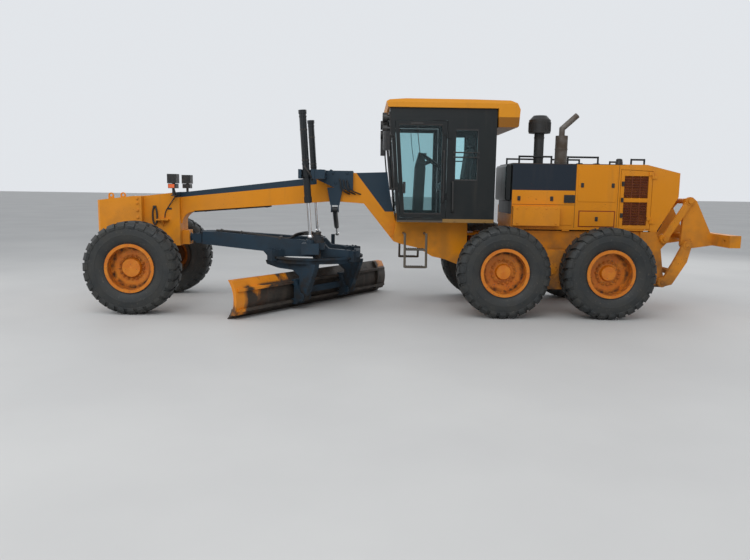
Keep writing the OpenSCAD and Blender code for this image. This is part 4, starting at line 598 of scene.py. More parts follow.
# Circle. The ring that turns the blade and its two arms are slate, with mud that
# thickens towards the ground. The teeth inside the ring are caked with grease.
circle_paint = painted("circle_paint", machine_slate, mud=1.5, rust=0.4, faded=0.5, gloss=0.5,
                       soil=oily_mud)
dress(circle_paint, "turn_circle")
greasy, tree, place = shader("greasy_teeth")
grease = ramp(speckle(place, 22.0, 6.0), 0.38, 0.62)
surface(mixed(grease, (0.1, 0.09, 0.08), (0.012, 0.01, 0.009)), ramp(grease, 0.0, 1.0, 0.5, 0.22),
        0.35, (grease, 0.5, 0.004))
dress(greasy, "circle_teeth")

# Blade. The hollow moldboard is orange-red at its near end, and wet mud and rust
# cover it more and more towards the far end. The cutting edge and end bits are
# worn steel, held by two rows of round-headed bolts.
blade_turn = radians(36)
blade_ahead = Vector((cos(-blade_turn), sin(-blade_turn), 0))
blade_left = Vector((sin(blade_turn), cos(blade_turn), 0))
blade_middle = Vector((circle_middle, 0, 0))


def on_blade(x, y, z):
    """A place by the blade's own directions: ahead, towards its left end, up."""
    return blade_middle + blade_ahead * x + blade_left * y + Vector((0, 0, z))


rail_rust = (0.24, 0.052, 0.01)


def blade_material(name, colour, mud, rust):
    """Paint that mud covers more and more from the near end to the far end."""
    material, tree, place = shader(name)
    along = vectors(place, tuple(blade_left), "DOT_PRODUCT", "Value")
    along = times(along, -blade_left.x * (front_axle + circle_middle), "ADD")
    height = add(tree, "SeparateXYZ", {0: place}).outputs["Z"]
    blot = speckle(place, 3.2, 9.0)
    streak = speckle(place, 9.0, 6.0, (1, 1, 0.25))
    cover = times(ramp(along, 1.62, 0.45, -0.22, 0.62), ramp(along, -1.6, -1.75, 0.0, -0.6), "ADD")
    cover = times(cover, ramp(height, 0.44, 0.12, -0.18, 0.36), "ADD")
    inboard = ramp(along, 1.68, 1.6)
    rail = times(inboard, ramp(height, 0.545, 0.575))
    under = times(inboard, ramp(height, 0.475, 0.445))
    wet = ramp(times(times(blot, streak, "ADD"), times(cover, mud), "ADD"), 1.02, 1.26)
    patch = ramp(times(streak, times(cover, rust), "ADD"), 0.62, 0.86)
    chalk = ramp(blot, 0.4, 0.7, 0.0, 0.5)
    base = mixed(chalk, colour, tuple(min(1.0, c * 1.35 + 0.01) for c in colour))
    base = mixed(times(rail, ramp(streak, 0.3, 0.55, 0.55, 1.0)), base, rail_rust)
    base = mixed(times(under, ramp(blot, 0.62, 0.5)), base, (0.04, 0.028, 0.019))
    base = mixed(patch, base, bare_rust)
    mud_tone = mixed(ramp(streak, 0.35, 0.65), (0.02, 0.016, 0.013), (0.052, 0.04, 0.03))
    lumps = times(speckle(place, 38.0, 7.0), times(wet, 2.0), "MULTIPLY_ADD")
    surface(mixed(wet, base, mud_tone), ramp(wet, 0.0, 1.0, 0.45, 0.62), bump=(lumps, 0.45, 0.008, 0.003))
    return material


blade_paint = blade_material("blade_paint", (0.68, 0.225, 0.006), 1.0, 1.0)
dress(blade_paint, "moldboard")
edge_steel = blade_material("edge_steel", (0.16, 0.135, 0.115), 0.6, 0.5)
dress(edge_steel, "cutting_edge")
# The blade's face is an arc. The cutting edge is bolted on it, 20.3 mm thick.
half_blade, blade_shift = 1.83, -0.0091
edge_radius, arc_x, arc_z = 0.415 - 0.0203, 0.3649, 0.2783
shape = bmesh.new()
for n in range(23):
    y = blade_shift - half_blade + 0.09 + n * (2 * half_blade - 0.18) / 22
    for height in (0.055, 0.115):
        a = asin((height - arc_z) / edge_radius)
        spot = on_blade(arc_x - edge_radius * cos(a), y, arc_z + edge_radius * sin(a))
        normal = blade_ahead * cos(a) - Vector((0, 0, sin(a)))
        lathe(shape, [(0, 0.0012), (0.016, 0.0008), (0.019, -0.004), (0, -0.004)], 14, spot, normal)
finish_piece("cutting_edge_bolts", shape, edge_steel, "blade_body")

# Blade lift and side shift. The cast saddle clamps the beam and holds the two lift
# cylinders at their middles. Their tubes are black with an oil line, and the rods
# are chromed, with a wiper gland where they leave the tube.
saddle_paint = painted("saddle_paint", machine_slate, mud=0.4, rust=0.6, faded=0.55)
dress(saddle_paint, "saddle")
tube_paint = painted("cylinder_paint", (0.013, 0.016, 0.019), mud=0.35, rust=0.45, gloss=0.32)
dress(tube_paint, "lift_tube_left", "lift_tube_right", "shift_tube")
chrome, tree, place = shader("chrome_rod")
film = ramp(speckle(place, 16.0, 6.0, (1, 1, 0.3)), 0.5, 0.78, 0.0, 0.55)
surface(mixed(film, (0.7, 0.71, 0.72), (0.2, 0.17, 0.14)), ramp(film, 0.0, 0.5, 0.09, 0.4), 1.0,
        (speckle(place, 300.0, 2.0, (1, 1, 0.05)), 0.06, 0.001))
dress(chrome, "lift_rod_left", "lift_rod_right", "shift_rod", "ripper_rod")
lift_foot = Vector((-2.55, 0.76, 1.13))
trunnion = Vector((lift_foot.x + 0.06, 0.76, 2.06))
lift_up = (trunnion - lift_foot).normalized()
lift_top = trunnion + lift_up * 0.9
lift_bottom = lift_top - lift_up * 1.31
for side, hand in ((1, "l"), (-1, "r")):
    def mirrored(v, side=side):
        return Vector((v.x, side * v.y, v.z))

    shape = bmesh.new()
    axis = mirrored(lift_up)
    low = mirrored(lift_bottom)
    lathe(shape, [(0.0262, -0.022), (0.036, -0.022), (0.04, -0.016), (0.04, -0.01), (0.0262, -0.01)],
          28, low, axis)
    around = axis.orthogonal().normalized()
    for a in turns(6):
        spot = low - axis * 0.01 + around * 0.047 * cos(a) + axis.cross(around) * 0.047 * sin(a)
        bolt(shape, spot, -axis, 0.013)
    for height in (0.18, 0.62):
        lathe(shape, [(0.0525, 0.0), (0.0555, 0.002), (0.0555, 0.022), (0.0525, 0.024)], 28,
              mirrored(trunnion) + axis * height, axis)
    finish_piece(f"lift_cylinder_gland_{hand}", shape, dark_steel, f"lift_tube_{hand}")
    shape = bmesh.new()
    port = mirrored(trunnion + lift_up * 0.115 + Vector((0, 0.064, 0)))
    tube(shape, [port + Vector((x, side * y, z)) for x, y, z in (
        (0, 0, 0), (0, 0.028, -0.03), (-0.075, 0.02, -0.14), (-0.09, -0.05, -0.2))], 0.012, 10, 6)
    lathe(shape, [(0, -0.006), (0.018, -0.006), (0.018, 0.016), (0, 0.016)], 6, port, axis)
    lathe(shape, [(0, -0.014), (0.017, -0.014), (0.017, 0.012), (0, 0.012)], 8,
          port + Vector((-0.09, side * -0.05, -0.2)), (0, side, 0.9))
    finish_piece(f"lift_hose_{hand}", shape, hose_rubber, f"lift_tube_{hand}")
shape = bmesh.new()
saddle_face = 0.2803
for side in (1, -1):
    for x, z in ((-2.68, 2.075), (-2.86, 2.085), (-3.08, 2.085), (-3.1, 1.9), (-2.9, 1.93)):
        bolt(shape, (x, side * saddle_face, z), (0, side, 0), 0.032)
    for x in (-2.82, -2.66):
        bolt(shape, (x, side * 0.16, 2.12), (0, 0, 1), 0.03)
finish_piece("saddle_bolts", shape, saddle_paint, "front_frame")
shape = bmesh.new()
for n in range(3):
    x = -2.96 - 0.055 * n
    tube(shape, [(x, 0.282, 1.99 - 0.02 * n), (x - 0.01, 0.315, 1.965), (x - 0.03, 0.318, 1.86),
                 (x - 0.08 - 0.02 * n, 0.285, 1.8), (x - 0.16 - 0.03 * n, 0.205, 1.76)], 0.0115, 10, 6)
finish_piece("saddle_hoses", shape, hose_rubber, "front_frame")

# Cab. A black welded cabin with tinted panes, a door on each side and an
# orange-yellow roof of moulded sheet. Rubber seals lie round the panes, and dirt
# has dried along the sills.
cab_paint = painted("cab_paint", cab_black, mud=0.55, rust=0.1, gloss=0.3, faded=0.35)
sill = [below(1.392)]
sill_end = [below(1.418), behind(-4.52)]
cab_side_paint = painted("cab_side_paint", cab_black,
                         [(sill, (0.1, 0.085, 0.065)), (sill_end, (0.3, 0.17, 0.05))],
                         mud=0.6, rust=0.1, gloss=0.3)
dress(cab_side_paint, "cab_body", "ladders")
# Painted shade: the roof's lower band, below 2.9165 m, takes a darker copy of its orange.
roof_underside_shade = [below(2.9165)]
roof_front = [ahead_of(-3.7), below(3.02)]
roof_paint = painted("roof_paint", (0.7, 0.27, 0.006),
                     [(roof_underside_shade, (0.27, 0.1, 0.003)), (roof_front, cab_black)],
                     mud=0.3, rust=0.2, faded=0.2)
dress(roof_paint, "cab_roof")


def pane_nodes(place):
    """Tinted glass with a film of dust: mostly seen through, bluish, with reflections."""
    tree = place.id_data
    dust = ramp(speckle(place, 5.0, 7.0), 0.35, 0.75, 0.0, 0.015)
    clear = add(tree, "BsdfTransparent", {"Color": (0.8, 0.925, 0.94, 1)}).outputs[0]
    shine = add(tree, "BsdfGlossy", {"Color": (0.9, 0.97, 1.0, 1), "Roughness": 0.03}).outputs[0]
    facing = add(tree, "LayerWeight", {"Blend": 0.35}).outputs["Fresnel"]
    glass = add(tree, "MixShader", {0: ramp(facing, 0.0, 1.0, -0.01, 0.6), 1: clear, 2: shine}).outputs[0]
    film = add(tree, "BsdfDiffuse", {"Color": (0.42, 0.62, 0.66, 1)}).outputs[0]
    return add(tree, "MixShader", {0: dust, 1: glass, 2: film}).outputs[0]


pane, tree, place = shader("tinted_pane")
tree.links.new(pane_nodes(place), tree.nodes["Material Output"].inputs["Surface"])
dress(pane, "cab_glass")
half_cab = 0.7
for side, hand in both_sides:
    door_paint = painted(f"door_paint_{hand}", cab_black, mud=0.5, rust=0.1, gloss=0.3)
    tree = door_paint.node_tree
    place = add(tree, "TexCoord").outputs["Object"]
    edges = [over_line(-3.945, 1.503, 13.47), ahead_of(-4.487), above(1.503), below(2.787),
             (0, side, 0, 0.6735), (0, -side, 0, -0.6805)]
    both = add(tree, "MixShader", {0: inside(place, edges, 0.0006), 2: pane_nodes(place),
                                   1: tree.nodes["Principled BSDF"].outputs[0]})
    tree.links.new(both.outputs[0], tree.nodes["Material Output"].inputs["Surface"])
    dress(door_paint, f"cab_door_{hand}")
seal_rubber = glossy("seal_rubber", (0.008, 0.008, 0.009), 0.6, 0.0, 0.4, 20.0)


def seal(shape, corners, y, side, width=0.018, depth=0.006):
    """A rubber strip round an opening in the side of the cab."""
    middle = Vector((sum(x for x, z in corners) / len(corners), sum(z for x, z in corners) / len(corners)))
    inner = [Vector(c) for c in corners]
    outer = [c + (c - middle).normalized() * width * 1.35 for c in inner]
    rings = [[shape.verts.new((p.x, y + side * out, p.y)) for p in line]
             for line, out in ((inner, -0.004), (inner, depth * 0.7), (outer, depth), (outer, -0.004))]
    count = len(corners)
    for low, high in zip(rings, rings[1:] + rings[:1]):
        for i in range(count):
            j = (i + 1) % count
            shape.faces.new((low[i], low[j], high[j], high[i]))


door_opening = [(-3.945, 1.505), (-3.85, 2.785), (-4.485, 2.785), (-4.485, 1.505)]
side_opening = [(-4.69, 2.01), (-4.69, 2.72), (-5.01, 2.72), (-5.01, 2.01)]


def beside(side, points):
    """Points of X, distance out from the cab's trim and Z, on its left or right side."""
    return [(x, side * (half_cab + 0.002 + out), z) for x, out, z in points]


for side, hand in both_sides:
    shape = bmesh.new()
    seal(shape, door_opening, side * half_cab, side)
    finish_piece(f"door_seal_{hand}", shape, seal_rubber, f"door_{hand}")
    shape = bmesh.new()
    y = side * (half_cab + 0.002)
    slab(shape, (-3.955, y, 1.79), (-3.915, y + side * 0.02, 1.96), 0.008)
    tube(shape, beside(side, [(-3.935, 0.004, 1.935), (-3.937, 0.048, 1.925), (-3.943, 0.05, 1.83),
                              (-3.945, 0.004, 1.815)]), 0.009, 10)
    finish_piece(f"door_handle_{hand}", shape, black_plastic, f"door_{hand}")
    shape = bmesh.new()
    tube(shape, beside(side, [(-4.515, -0.004, 2.42), (-4.515, 0.038, 2.4), (-4.515, 0.042, 2.2),
                              (-4.515, 0.042, 1.9), (-4.515, 0.038, 1.69), (-4.515, -0.004, 1.67)]),
         0.013, 12)
    slab(shape, (-4.2, y, 2.8), (-4.02, y + side * 0.01, 2.83), 0.004)
    tube(shape, beside(side, [(-4.11, 0.008, 2.815), (-4.13, 0.022, 2.6), (-4.17, 0.016, 2.32)]), 0.005, 8)
    finish_piece(f"door_grab_and_wiper_{hand}", shape, black_plastic, f"door_{hand}")
    shape = bmesh.new()
    seal(shape, side_opening, side * half_cab, side)
    for z in (2.33, 2.4):
        tube(shape, beside(side, [(-4.67, 0.01, z), (-4.85, 0.012, z), (-5.03, 0.01, z)]), 0.01, 10, 2)
        for x in (-4.672, -5.028):
            slab(shape, (x - 0.016, side * half_cab, z - 0.016),
                 (x + 0.016, y + side * 0.016, z + 0.016), 0.003)
    tube(shape, beside(side, [(-4.655, -0.004, 1.97), (-4.655, 0.055, 1.95), (-4.657, 0.06, 1.8),
                              (-4.66, 0.06, 1.66), (-4.662, 0.055, 1.54), (-4.662, -0.004, 1.52)]), 0.014, 12)
    finish_piece(f"cab_grab_rail_{hand}", shape, black_plastic, "front_frame")
shape = bmesh.new()
for side in (1, -1):
    # The windscreen leans 0.13 m forward over its height of 1.675 m.
    foot, tip = [(-3.84 + 0.13 * (z - 1.365) / 1.675 + off, side * y, z)
                 for y, z, off in ((0.1, 1.62, 0.012), (0.4, 2.38, 0.016))]
    tube(shape, [foot, [(a + b) / 2 for a, b in zip(foot, tip)], tip], 0.007, 8, 3)
    lathe(shape, [(0, -0.024), (0.03, -0.024), (0.03, 0.004), (0, 0.008)], 20, foot, (1, 0, 0))
finish_piece("windscreen_wipers", shape, black_plastic, "front_frame")
shape = bmesh.new()
for side in (1, -1):
    for x in (-3.99, -4.25, -4.7, -5.15):
        bolt(shape, (x, side * half_cab, 1.388), (0, side, 0), 0.018)
finish_piece("cab_sill_bolts", shape, cab_side_paint, "front_frame")
shape = bmesh.new()
for side in (1, -1):
    for z in (0.7, 0.96):
        # The ladder leans in by 60 mm over its height of 508 mm.
        y = side * (0.8 - (z - 0.69) / 0.508 * 0.06)
        for n in range(8):
            x = -3.985 - n * 0.033
            slab(shape, (x - 0.01, y - 0.022, z + 0.014), (x + 0.01, y + 0.022, z + 0.0225))
finish_piece("ladder_treads", shape, dark_steel, "front_frame")

# Operator's seat. Three foam pads under dark grey cloth, swollen by a short cloth
# simulation: the cushion, the backrest and the headrest. They stand for the plain
# CAD seat, on a plastic base, and the headrest has two posts.


def pad(name, sections, cap):
    """A crowned foam pad: a closed form blown up a little by the cloth solver."""
    shape = bmesh.new()
    prism(shape, sections)
    bmesh.ops.recalc_face_normals(shape, faces=shape.faces)
    mesh = bpy.data.meshes.new(name)
    shape.to_mesh(mesh)
    shape.free()
    made = bpy.data.objects.new(name, mesh)
    bpy.context.scene.collection.objects.link(made)
    rounding = made.modifiers.new("rounding", "BEVEL")
    rounding.width = 0.028
    rounding.segments = 3
    remesh = made.modifiers.new("remesh", "REMESH")
    remesh.mode = "VOXEL"
    remesh.voxel_size = 0.006
    graph = bpy.context.evaluated_depsgraph_get()
    mesh = bpy.data.meshes.new_from_object(made.evaluated_get(graph))
    made.modifiers.clear()
    made.data = mesh
    before = [v.co.copy() for v in mesh.vertices]
    cloth = made.modifiers.new("cloth", "CLOTH")
    cloth.settings.use_pressure = True
    cloth.settings.uniform_pressure_force = 4.0
    cloth.settings.effector_weights.gravity = 0
    cloth.settings.quality = 4
    cloth.point_cache.frame_start = 1
    cloth.point_cache.frame_end = 20
    for step in range(1, 21):
        bpy.context.scene.frame_set(step)
    graph = bpy.context.evaluated_depsgraph_get()
    blown = bpy.data.meshes.new_from_object(made.evaluated_get(graph))
    made.modifiers.clear()
    for vertex, start, moved in zip(mesh.vertices, before, blown.vertices):
        shift = moved.co - start
        if shift.length > cap:
            shift *= cap / shift.length
        vertex.co = start + shift
    bpy.data.meshes.remove(blown)
    bpy.context.scene.frame_set(1)
    for polygon in mesh.polygons:
        polygon.use_smooth = True
    made.modifiers.new("smooth", "SUBSURF").levels = 1
    made.modifiers["smooth"].render_levels = 1
    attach(made, "front_frame")
    return made


seat_cloth, tree, place = shader("seat_cloth")
threads = {"Vector": place, "Scale": 160.0, "Distortion": 0.3}
warp, weft = (add(tree, "TexWave", threads, bands_direction=way).outputs[1] for way in "XZ")
weave = times(warp, weft)
worn = ramp(speckle(place, 6.0, 5.0), 0.42, 0.7)
cloth_tone = mixed(worn, (0.02, 0.021, 0.024), (0.045, 0.044, 0.044))
surface(mixed(ramp(weave, 0.3, 0.9, 0.0, 0.5), cloth_tone, (0.1, 0.1, 0.105)), 0.92,
        bump=(weave, 0.35, 0.0015), Sheen_Weight=0.4)
cushion_outline = [(-4.975, 1.856), (-4.975, 1.948), (-4.55, 1.958), (-4.5, 1.936), (-4.49, 1.9),
                   (-4.52, 1.856)]
cushion = pad("seat_cushion", [[(front_axle + x, y, z) for x, z in cushion_outline]
                               for y in (-0.24, 0.24)], 0.008)


def back_pad(name, outline, cap):
    """A pad of the backrest: an outline of Y and Z between the back's two leaning faces."""
    faces = []
    for front in (True, False):
        ring = []
        for y, z in outline:
            low_x, high_x = (-4.873, -4.973) if front else (-4.979, -5.066)
            ring.append((front_axle + low_x + (high_x - low_x) * (z - 1.9) / 0.8, y, z))
        faces.append(ring)
    return pad(name, faces, cap)


backrest = back_pad("seat_backrest", [(-0.205, 1.985), (-0.23, 2.04), (-0.23, 2.41), (-0.185, 2.495),
                                      (0.185, 2.495), (0.23, 2.41), (0.23, 2.04), (0.205, 1.985)], 0.008)
headrest = back_pad("seat_headrest", [(-0.122, 2.528), (-0.14, 2.56), (-0.122, 2.672), (0.122, 2.672),
                                      (0.14, 2.56), (0.122, 2.528)], 0.006)
for one in (cushion, backrest, headrest):
    one.data.materials.append(seat_cloth)
shape = bmesh.new()
for y in (-0.06, 0.06):
    tube(shape, [(-5.000, y, 2.47), (-5.008, y, 2.52), (-5.014, y, 2.565)], 0.008, 10, 2)
slab(shape, (-4.985, -0.215, 1.8502), (-4.52, 0.215, 1.862), 0.004)
finish_piece("seat_frame", shape, black_plastic, "front_frame")
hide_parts("cab_seat")

# Controls. A moulded console carries the column and the steering wheel, and two
# lever banks stand beside it, as seen through the door. Pedals and a floor mat
# lie before the seat.
dress(black_plastic, "cab_console")
rubber_grip = glossy("rubber_grip", (0.01, 0.01, 0.011), 0.6, 0.0, 0.3, 60.0)
shape, knobs = bmesh.new(), bmesh.new()
for side in (1, -1):
    slab(shape, (-4.3, side * 0.17 - 0.045, 2.24), (-4.18, side * 0.17 + 0.045, 2.29), 0.012)
    slab(shape, (-4.275, side * 0.1, 2.2), (-4.205, side * 0.13, 2.27), 0.006)
    for n in range(4):
        foot = Vector((-4.275 + 0.028 * n, side * (0.15 + 0.012 * (n % 2)), 2.288))
        tip = foot + Vector((-0.02, side * 0.004, 0.105))
        tube(shape, [foot, (foot + tip) / 2, tip], 0.005, 8, 2)
        lathe(knobs, [(0, -0.012), (0.009, -0.01), (0.013, 0.004), (0.011, 0.02), (0, 0.024)], 14,
              tip, (-0.15, 0, 1))
finish_piece("lever_banks", shape, black_plastic, "front_frame")
finish_piece("lever_knobs", knobs, rubber_grip, "front_frame")
shape = bmesh.new()
floor_z = 1.4103
for y, x in ((-0.2, -4.02), (0.2, -4.02), (0.3, -4.04)):
    slab(shape, (x - 0.045, y - 0.035, floor_z + 0.085), (x + 0.035, y + 0.035, floor_z + 0.097), 0.004)
    tube(shape, [(x + 0.01, y, floor_z + 0.088), (x + 0.05, y, floor_z + 0.05),
                 (x + 0.08, y, floor_z - 0.001)], 0.009, 8, 3)
slab(shape, (-4.54, -0.6, floor_z - 0.0002), (-3.95, -0.13, floor_z + 0.006), 0.002)
slab(shape, (-4.54, 0.13, floor_z - 0.0002), (-3.95, 0.6, floor_z + 0.006), 0.002)
finish_piece("pedals_and_mats", shape, rubber_grip, "front_frame")

# Hood. Sheet steel over the engine, orange with a navy panel at its upper front,
# a black roof strip and black pipe rails. Panels, latches, vents and the coolant
# cap are fixed on it. Its grille doors are orange frames round rusty steel mesh.
navy = (0.01, 0.018, 0.03)
hood_black = (0.012, 0.013, 0.014)
front_panel = [above(1.865), ahead_of(-6.56), below(2.262)]
front_face = [ahead_of(-5.5935), above(1.5)]
roof_strip = [above(2.262), ahead_of(-7.3)]
rails = [above(2.273)]
side_seams = [[above(1.3), below(2.262), ahead_of(x - 0.003), behind(x + 0.003)]
              for x in (-6.562, -7.215)]
low_seam = [above(1.646), below(1.652), ahead_of(-6.56)]
panel_edge_shade = (0.26, 0.045, 0.006)
# Painted shade: a rust-red band round the raised lower panel stands for the shade along its edges; the
# panel's own area is yellow again.
low_panel = [[ahead_of(-7.175 - d), behind(-6.635 + d), above(1.325 - d), below(1.555 + d)]
             for d in (0.012, -0.004)]
hood_areas = [(front_panel, navy), (front_face, hood_black), (roof_strip, (0.014, 0.015, 0.017)),
              (rails, hood_black)] + [(seam, (0.03, 0.018, 0.008)) for seam in side_seams + [low_seam]]
hood_areas += [(low_panel[0], panel_edge_shade), (low_panel[1], machine_yellow)]
hood_paint = painted("hood_paint", machine_yellow, hood_areas, mud=0.45, rust=0.45, faded=0.35)
dress(hood_paint, "hood")
hood_half = 0.495


def on_hood(shape, side, x0, x1, z0, z1, depth, chamfer):
    """A flat box on the side of the hood."""
    slab(shape, (x0, side * hood_half, z0), (x1, side * (hood_half + depth), z1), chamfer)


shape, vents, latches = bmesh.new(), bmesh.new(), bmesh.new()
for side in (1, -1):
    for x0, x1, z0, z1 in ((-7.19, -6.6, 1.7, 2.2), (-7.17, -6.64, 1.33, 1.55), (-6.54, -6.33, 1.34, 1.6)):
        on_hood(shape, side, x0, x1, z0, z1, 0.007, 0.018)
    on_hood(vents, side, -6.555, -6.39, 1.68, 1.8, 0.012, 0.004)
    for n in range(5):
        on_hood(vents, side, -6.545, -6.4, 1.69 + 0.021 * n, 1.7 + 0.021 * n, 0.02, 0.003)
    for x, z in ((-6.66, 1.95), (-7.13, 1.95), (-6.9, 1.44), (-5.7, 1.74), (-6.2, 1.74)):
        on_hood(latches, side, x - 0.022, x + 0.022, z - 0.034, z + 0.034, 0.014, 0.006)
        on_hood(latches, side, x - 0.012, x + 0.012, z - 0.024, z + 0.006, 0.021, 0.004)
    for x, z in [(x, 1.59) for x in (-5.66, -5.8, -5.95, -6.1, -6.25)] + [(-5.66, 1.365), (-6.25, 1.365)]:
        bolt(shape, (x, side * (hood_half + 0.11), z), (0, side, 0), 0.018)
finish_piece("hood_panels", shape, hood_paint, "rear_body", bevel=0.003)
finish_piece("hood_vents", vents, black_plastic, "rear_body")
finish_piece("hood_latches", latches, black_plastic, "rear_body")
shape = bmesh.new()
prism(shape, [[(-5.592, w, 1.7), (-5.592, w, 2.245), (-5.53, w * 0.97, 2.25), (-5.505, w * 0.95, 2.215),
               (-5.505, w * 0.95, 1.73), (-5.525, w * 0.97, 1.7)] for w in (-0.42, 0.42)])
finish_piece("hood_front_box", shape, cab_paint, "rear_body", bevel=0.012)
shape = bmesh.new()
lathe(shape, [(0, 0.0), (0.055, 0.0), (0.055, 0.04), (0.048, 0.05), (0.048, 0.085), (0.03, 0.098),
              (0, 0.1)], 32, (-7.285, 0.27, 2.268), (0, 0, 1))
for x in (-6.75, -7.02):
    slab(shape, (x - 0.04, -0.06, 2.268), (x + 0.04, 0.06, 2.3), 0.01)
finish_piece("hood_caps", shape, black_plastic, "rear_body", bevel=0.002)
mesh_paint, tree, place = shader("rusty_mesh")
spots = ramp(speckle(place, 7.0, 7.0), 0.38, 0.62)
surface(mixed(spots, (0.12, 0.024, 0.004), (0.23, 0.055, 0.005)), 0.75,
        bump=(speckle(place, 160.0, 4.0), 0.4, 0.002))
grille_heights = ((1.355, 1.7), (1.77, 2.095))
openings = [[ahead_of(-7.672), behind(-7.308), above(low), below(high)]
            for low, high in grille_heights]
grille_paint = painted("grille_paint", machine_yellow,
                       [(opening, (0.15, 0.03, 0.004)) for opening in openings],
                       mud=0.6, rust=1.2, faded=0.3)
dress(grille_paint, "grille_door_left", "grille_door_right")
for side, hand in both_sides:
    shape = bmesh.new()
    y = side * (hood_half - 0.012)
    for z0, z1 in grille_heights:
        pitch, x0, x1 = 0.03, -7.672, -7.308
        for lean in (1, -1):
            for n in range(-int((z1 - z0) / pitch) - 1, int((x1 - x0) / pitch) + 2):
                a, b = x0 + n * pitch, x0 + n * pitch + (z1 - z0)
                low, high = max(a, x0), min(b, x1)
                if high - low < 0.01:
                    continue
                za, zb = z0 + low - a, z0 + high - a
                if lean < 0:
                    low, high = x0 + x1 - low, x0 + x1 - high
                tube(shape, [(low, y, za), (high, y, zb)], 0.0032, 4, 1)
    finish_piece(f"grille_mesh_{hand}", shape, mesh_paint, f"grille_{hand}")
    shape = bmesh.new()
    for z in (1.5, 1.735, 1.98):
        on_hood(shape, side, -7.3, -7.262, z - 0.035, z + 0.035, 0.014, 0.006)
        on_hood(shape, side, -7.29, -7.272, z - 0.012, z + 0.025, 0.024, 0.004)
    finish_piece(f"grille_latches_{hand}", shape, black_plastic, f"grille_{hand}")
iron, tree, place = shader("engine_iron")
oil = ramp(speckle(place, 6.0, 7.0), 0.4, 0.66)
surface(mixed(oil, (0.1, 0.11, 0.11), (0.022, 0.018, 0.015)), ramp(oil, 0.0, 1.0, 0.6, 0.35), 0.4)
dress(iron, "engine")

# Exhaust and air precleaner. The exhaust's muffler and tailpipe are heat-stained
# and rusty, and the precleaner has a black ribbed dome over a plain neck.
stack_paint, tree, place = shader("stack_steel")
exhaust = inside(place, [behind(-6.3)])
heat = ramp(speckle(place, 5.0, 7.0), 0.36, 0.66)
burnt = mixed(heat, (0.165, 0.15, 0.132), (0.085, 0.06, 0.042))
dusty_black = mixed(heat, (0.01, 0.011, 0.012), (0.035, 0.033, 0.031))
surface(mixed(exhaust, dusty_black, burnt), ramp(heat, 0.0, 1.0, 0.45, 0.78),
        bump=(speckle(place, 90.0, 4.0), 0.25, 0.002))
dress(stack_paint, "stacks")
shape = bmesh.new()
cleaner_x, cleaner_y = -6.05, 0.17
for a in turns(36):
    outward, around = Vector((cos(a), sin(a), 0)), Vector((-sin(a), cos(a), 0))
    prism(shape, [[Vector((cleaner_x, cleaner_y, z)) + outward * (0.1655 + rise) + around * off
                   for rise, off in ((0, -0.004), (0, 0.004), (0.006, 0.004), (0.006, -0.004))]
                  for z in (2.765, 2.905)])
for z in (2.36, 2.66):
    lathe(shape, [(0.0752, 0.0), (0.08, 0.002), (0.08, 0.02), (0.0752, 0.022)], 40,
          (cleaner_x, cleaner_y, z), (0, 0, 1))
for z, pipe, band in ((2.3, 0.0952, 0.099), (2.5, 0.0952, 0.099), (2.7, 0.0452, 0.052)):
    lathe(shape, [(pipe, -0.02), (band, -0.018), (band, 0.002), (pipe, 0.004)], 40,
          (-6.45, 0, z + 0.02), (0, 0, 1))
finish_piece("stack_bands", shape, stack_paint, "rear_body")

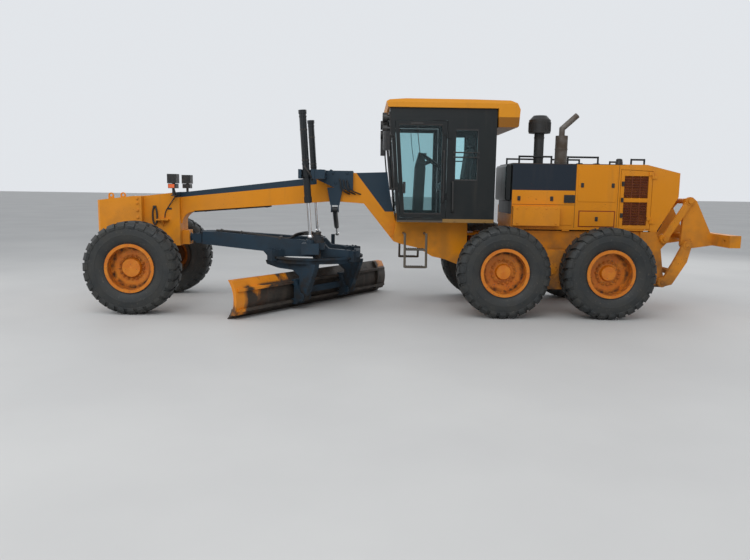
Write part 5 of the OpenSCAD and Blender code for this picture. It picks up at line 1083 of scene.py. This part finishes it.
# Rear frame, tandems and ripper. Orange steel that the wheels have sprayed with
# mud, with bolted inspection covers on the tandem cases, collars round the pins of
# the ripper, and an oil line and a gland on its cylinder.
chassis_paint = painted("chassis_paint", (0.62, 0.215, 0.008), mud=1.0, rust=0.8, faded=0.3, gloss=0.5)
dress(chassis_paint, "rear_frame", "tandem_axle", "front_axle", "lean_yoke_left", "lean_yoke_right")
ripper_paint = painted("ripper_paint", (0.7, 0.25, 0.008), mud=0.8, rust=0.9, faded=0.35)
dress(ripper_paint, "ripper_arms", "ripper_link", "ripper_beam", "ripper_tube")
knuckle_paint = painted("knuckle_paint", (0.1, 0.05, 0.02), mud=1.0, rust=1.0)
dress(knuckle_paint, "knuckle_left", "knuckle_right")
case_face = 0.775
shape = bmesh.new()
for side in (1, -1):
    for x in (-5.8, -6.16, -6.52):
        lathe(shape, [(0, 0.0), (0.105, 0.0), (0.105, 0.009), (0.098, 0.012), (0, 0.012)], 36,
              (x, side * case_face, 0.7), (0, side, 0))
        for a in turns(8, 0.5):
            bolt(shape, (x + 0.085 * cos(a), side * (case_face + 0.011), 0.7 + 0.085 * sin(a)),
                 (0, side, 0), 0.015)
finish_piece("tandem_covers", shape, chassis_paint, "rear_body")
ripper_side = 0.503
for part, half_arm, places in (("arms", 0.06, ((-7.96, 0.48), (-8.31, 1.06))),
                               ("link", 0.04, ((-7.96, 1.15), (-8.31, 1.73)))):
    shape = bmesh.new()
    for side in (1, -1):
        for x, z in places:
            lathe(shape, [(0.036, 0.0), (0.062, 0.0), (0.062, 0.007), (0.036, 0.007), (0.036, 0.0)], 36,
                  (x, side * (ripper_side + half_arm), z), (0, side, 0))
    finish_piece(f"ripper_{part}_collars", shape, ripper_paint, f"ripper_{part}_body")
shape = bmesh.new()
ram_foot = Vector((-7.85, 0, 0.9))
ram_dir = (Vector((-8.22, 0, 1.62)) - ram_foot).normalized()


def on_ram(reach, out):
    """A place along the ripper cylinder, out to the left of its middle line."""
    return ram_foot + ram_dir * reach + Vector((0, out, 0))


for reach in (0.12, 0.5):
    lathe(shape, [(0, -0.004), (0.016, -0.004), (0.016, 0.02), (0, 0.02)], 8, on_ram(reach, 0.055), (0, 1, 0))
tube(shape, [on_ram(0.12, 0.072), on_ram(0.14, 0.1), on_ram(0.3, 0.09), on_ram(0.49, 0.1),
             on_ram(0.5, 0.072)], 0.011, 10, 6)
finish_piece("ripper_oil_line", shape, hose_rubber, "ripper_tube_body")
shape = bmesh.new()
lathe(shape, [(0.0302, 0.0), (0.05, 0.0), (0.052, 0.004), (0.052, 0.014), (0.04, 0.018), (0.0302, 0.018)],
      32, on_ram(0.56, 0), ram_dir)
finish_piece("ripper_gland", shape, dark_steel, "ripper_tube_body")
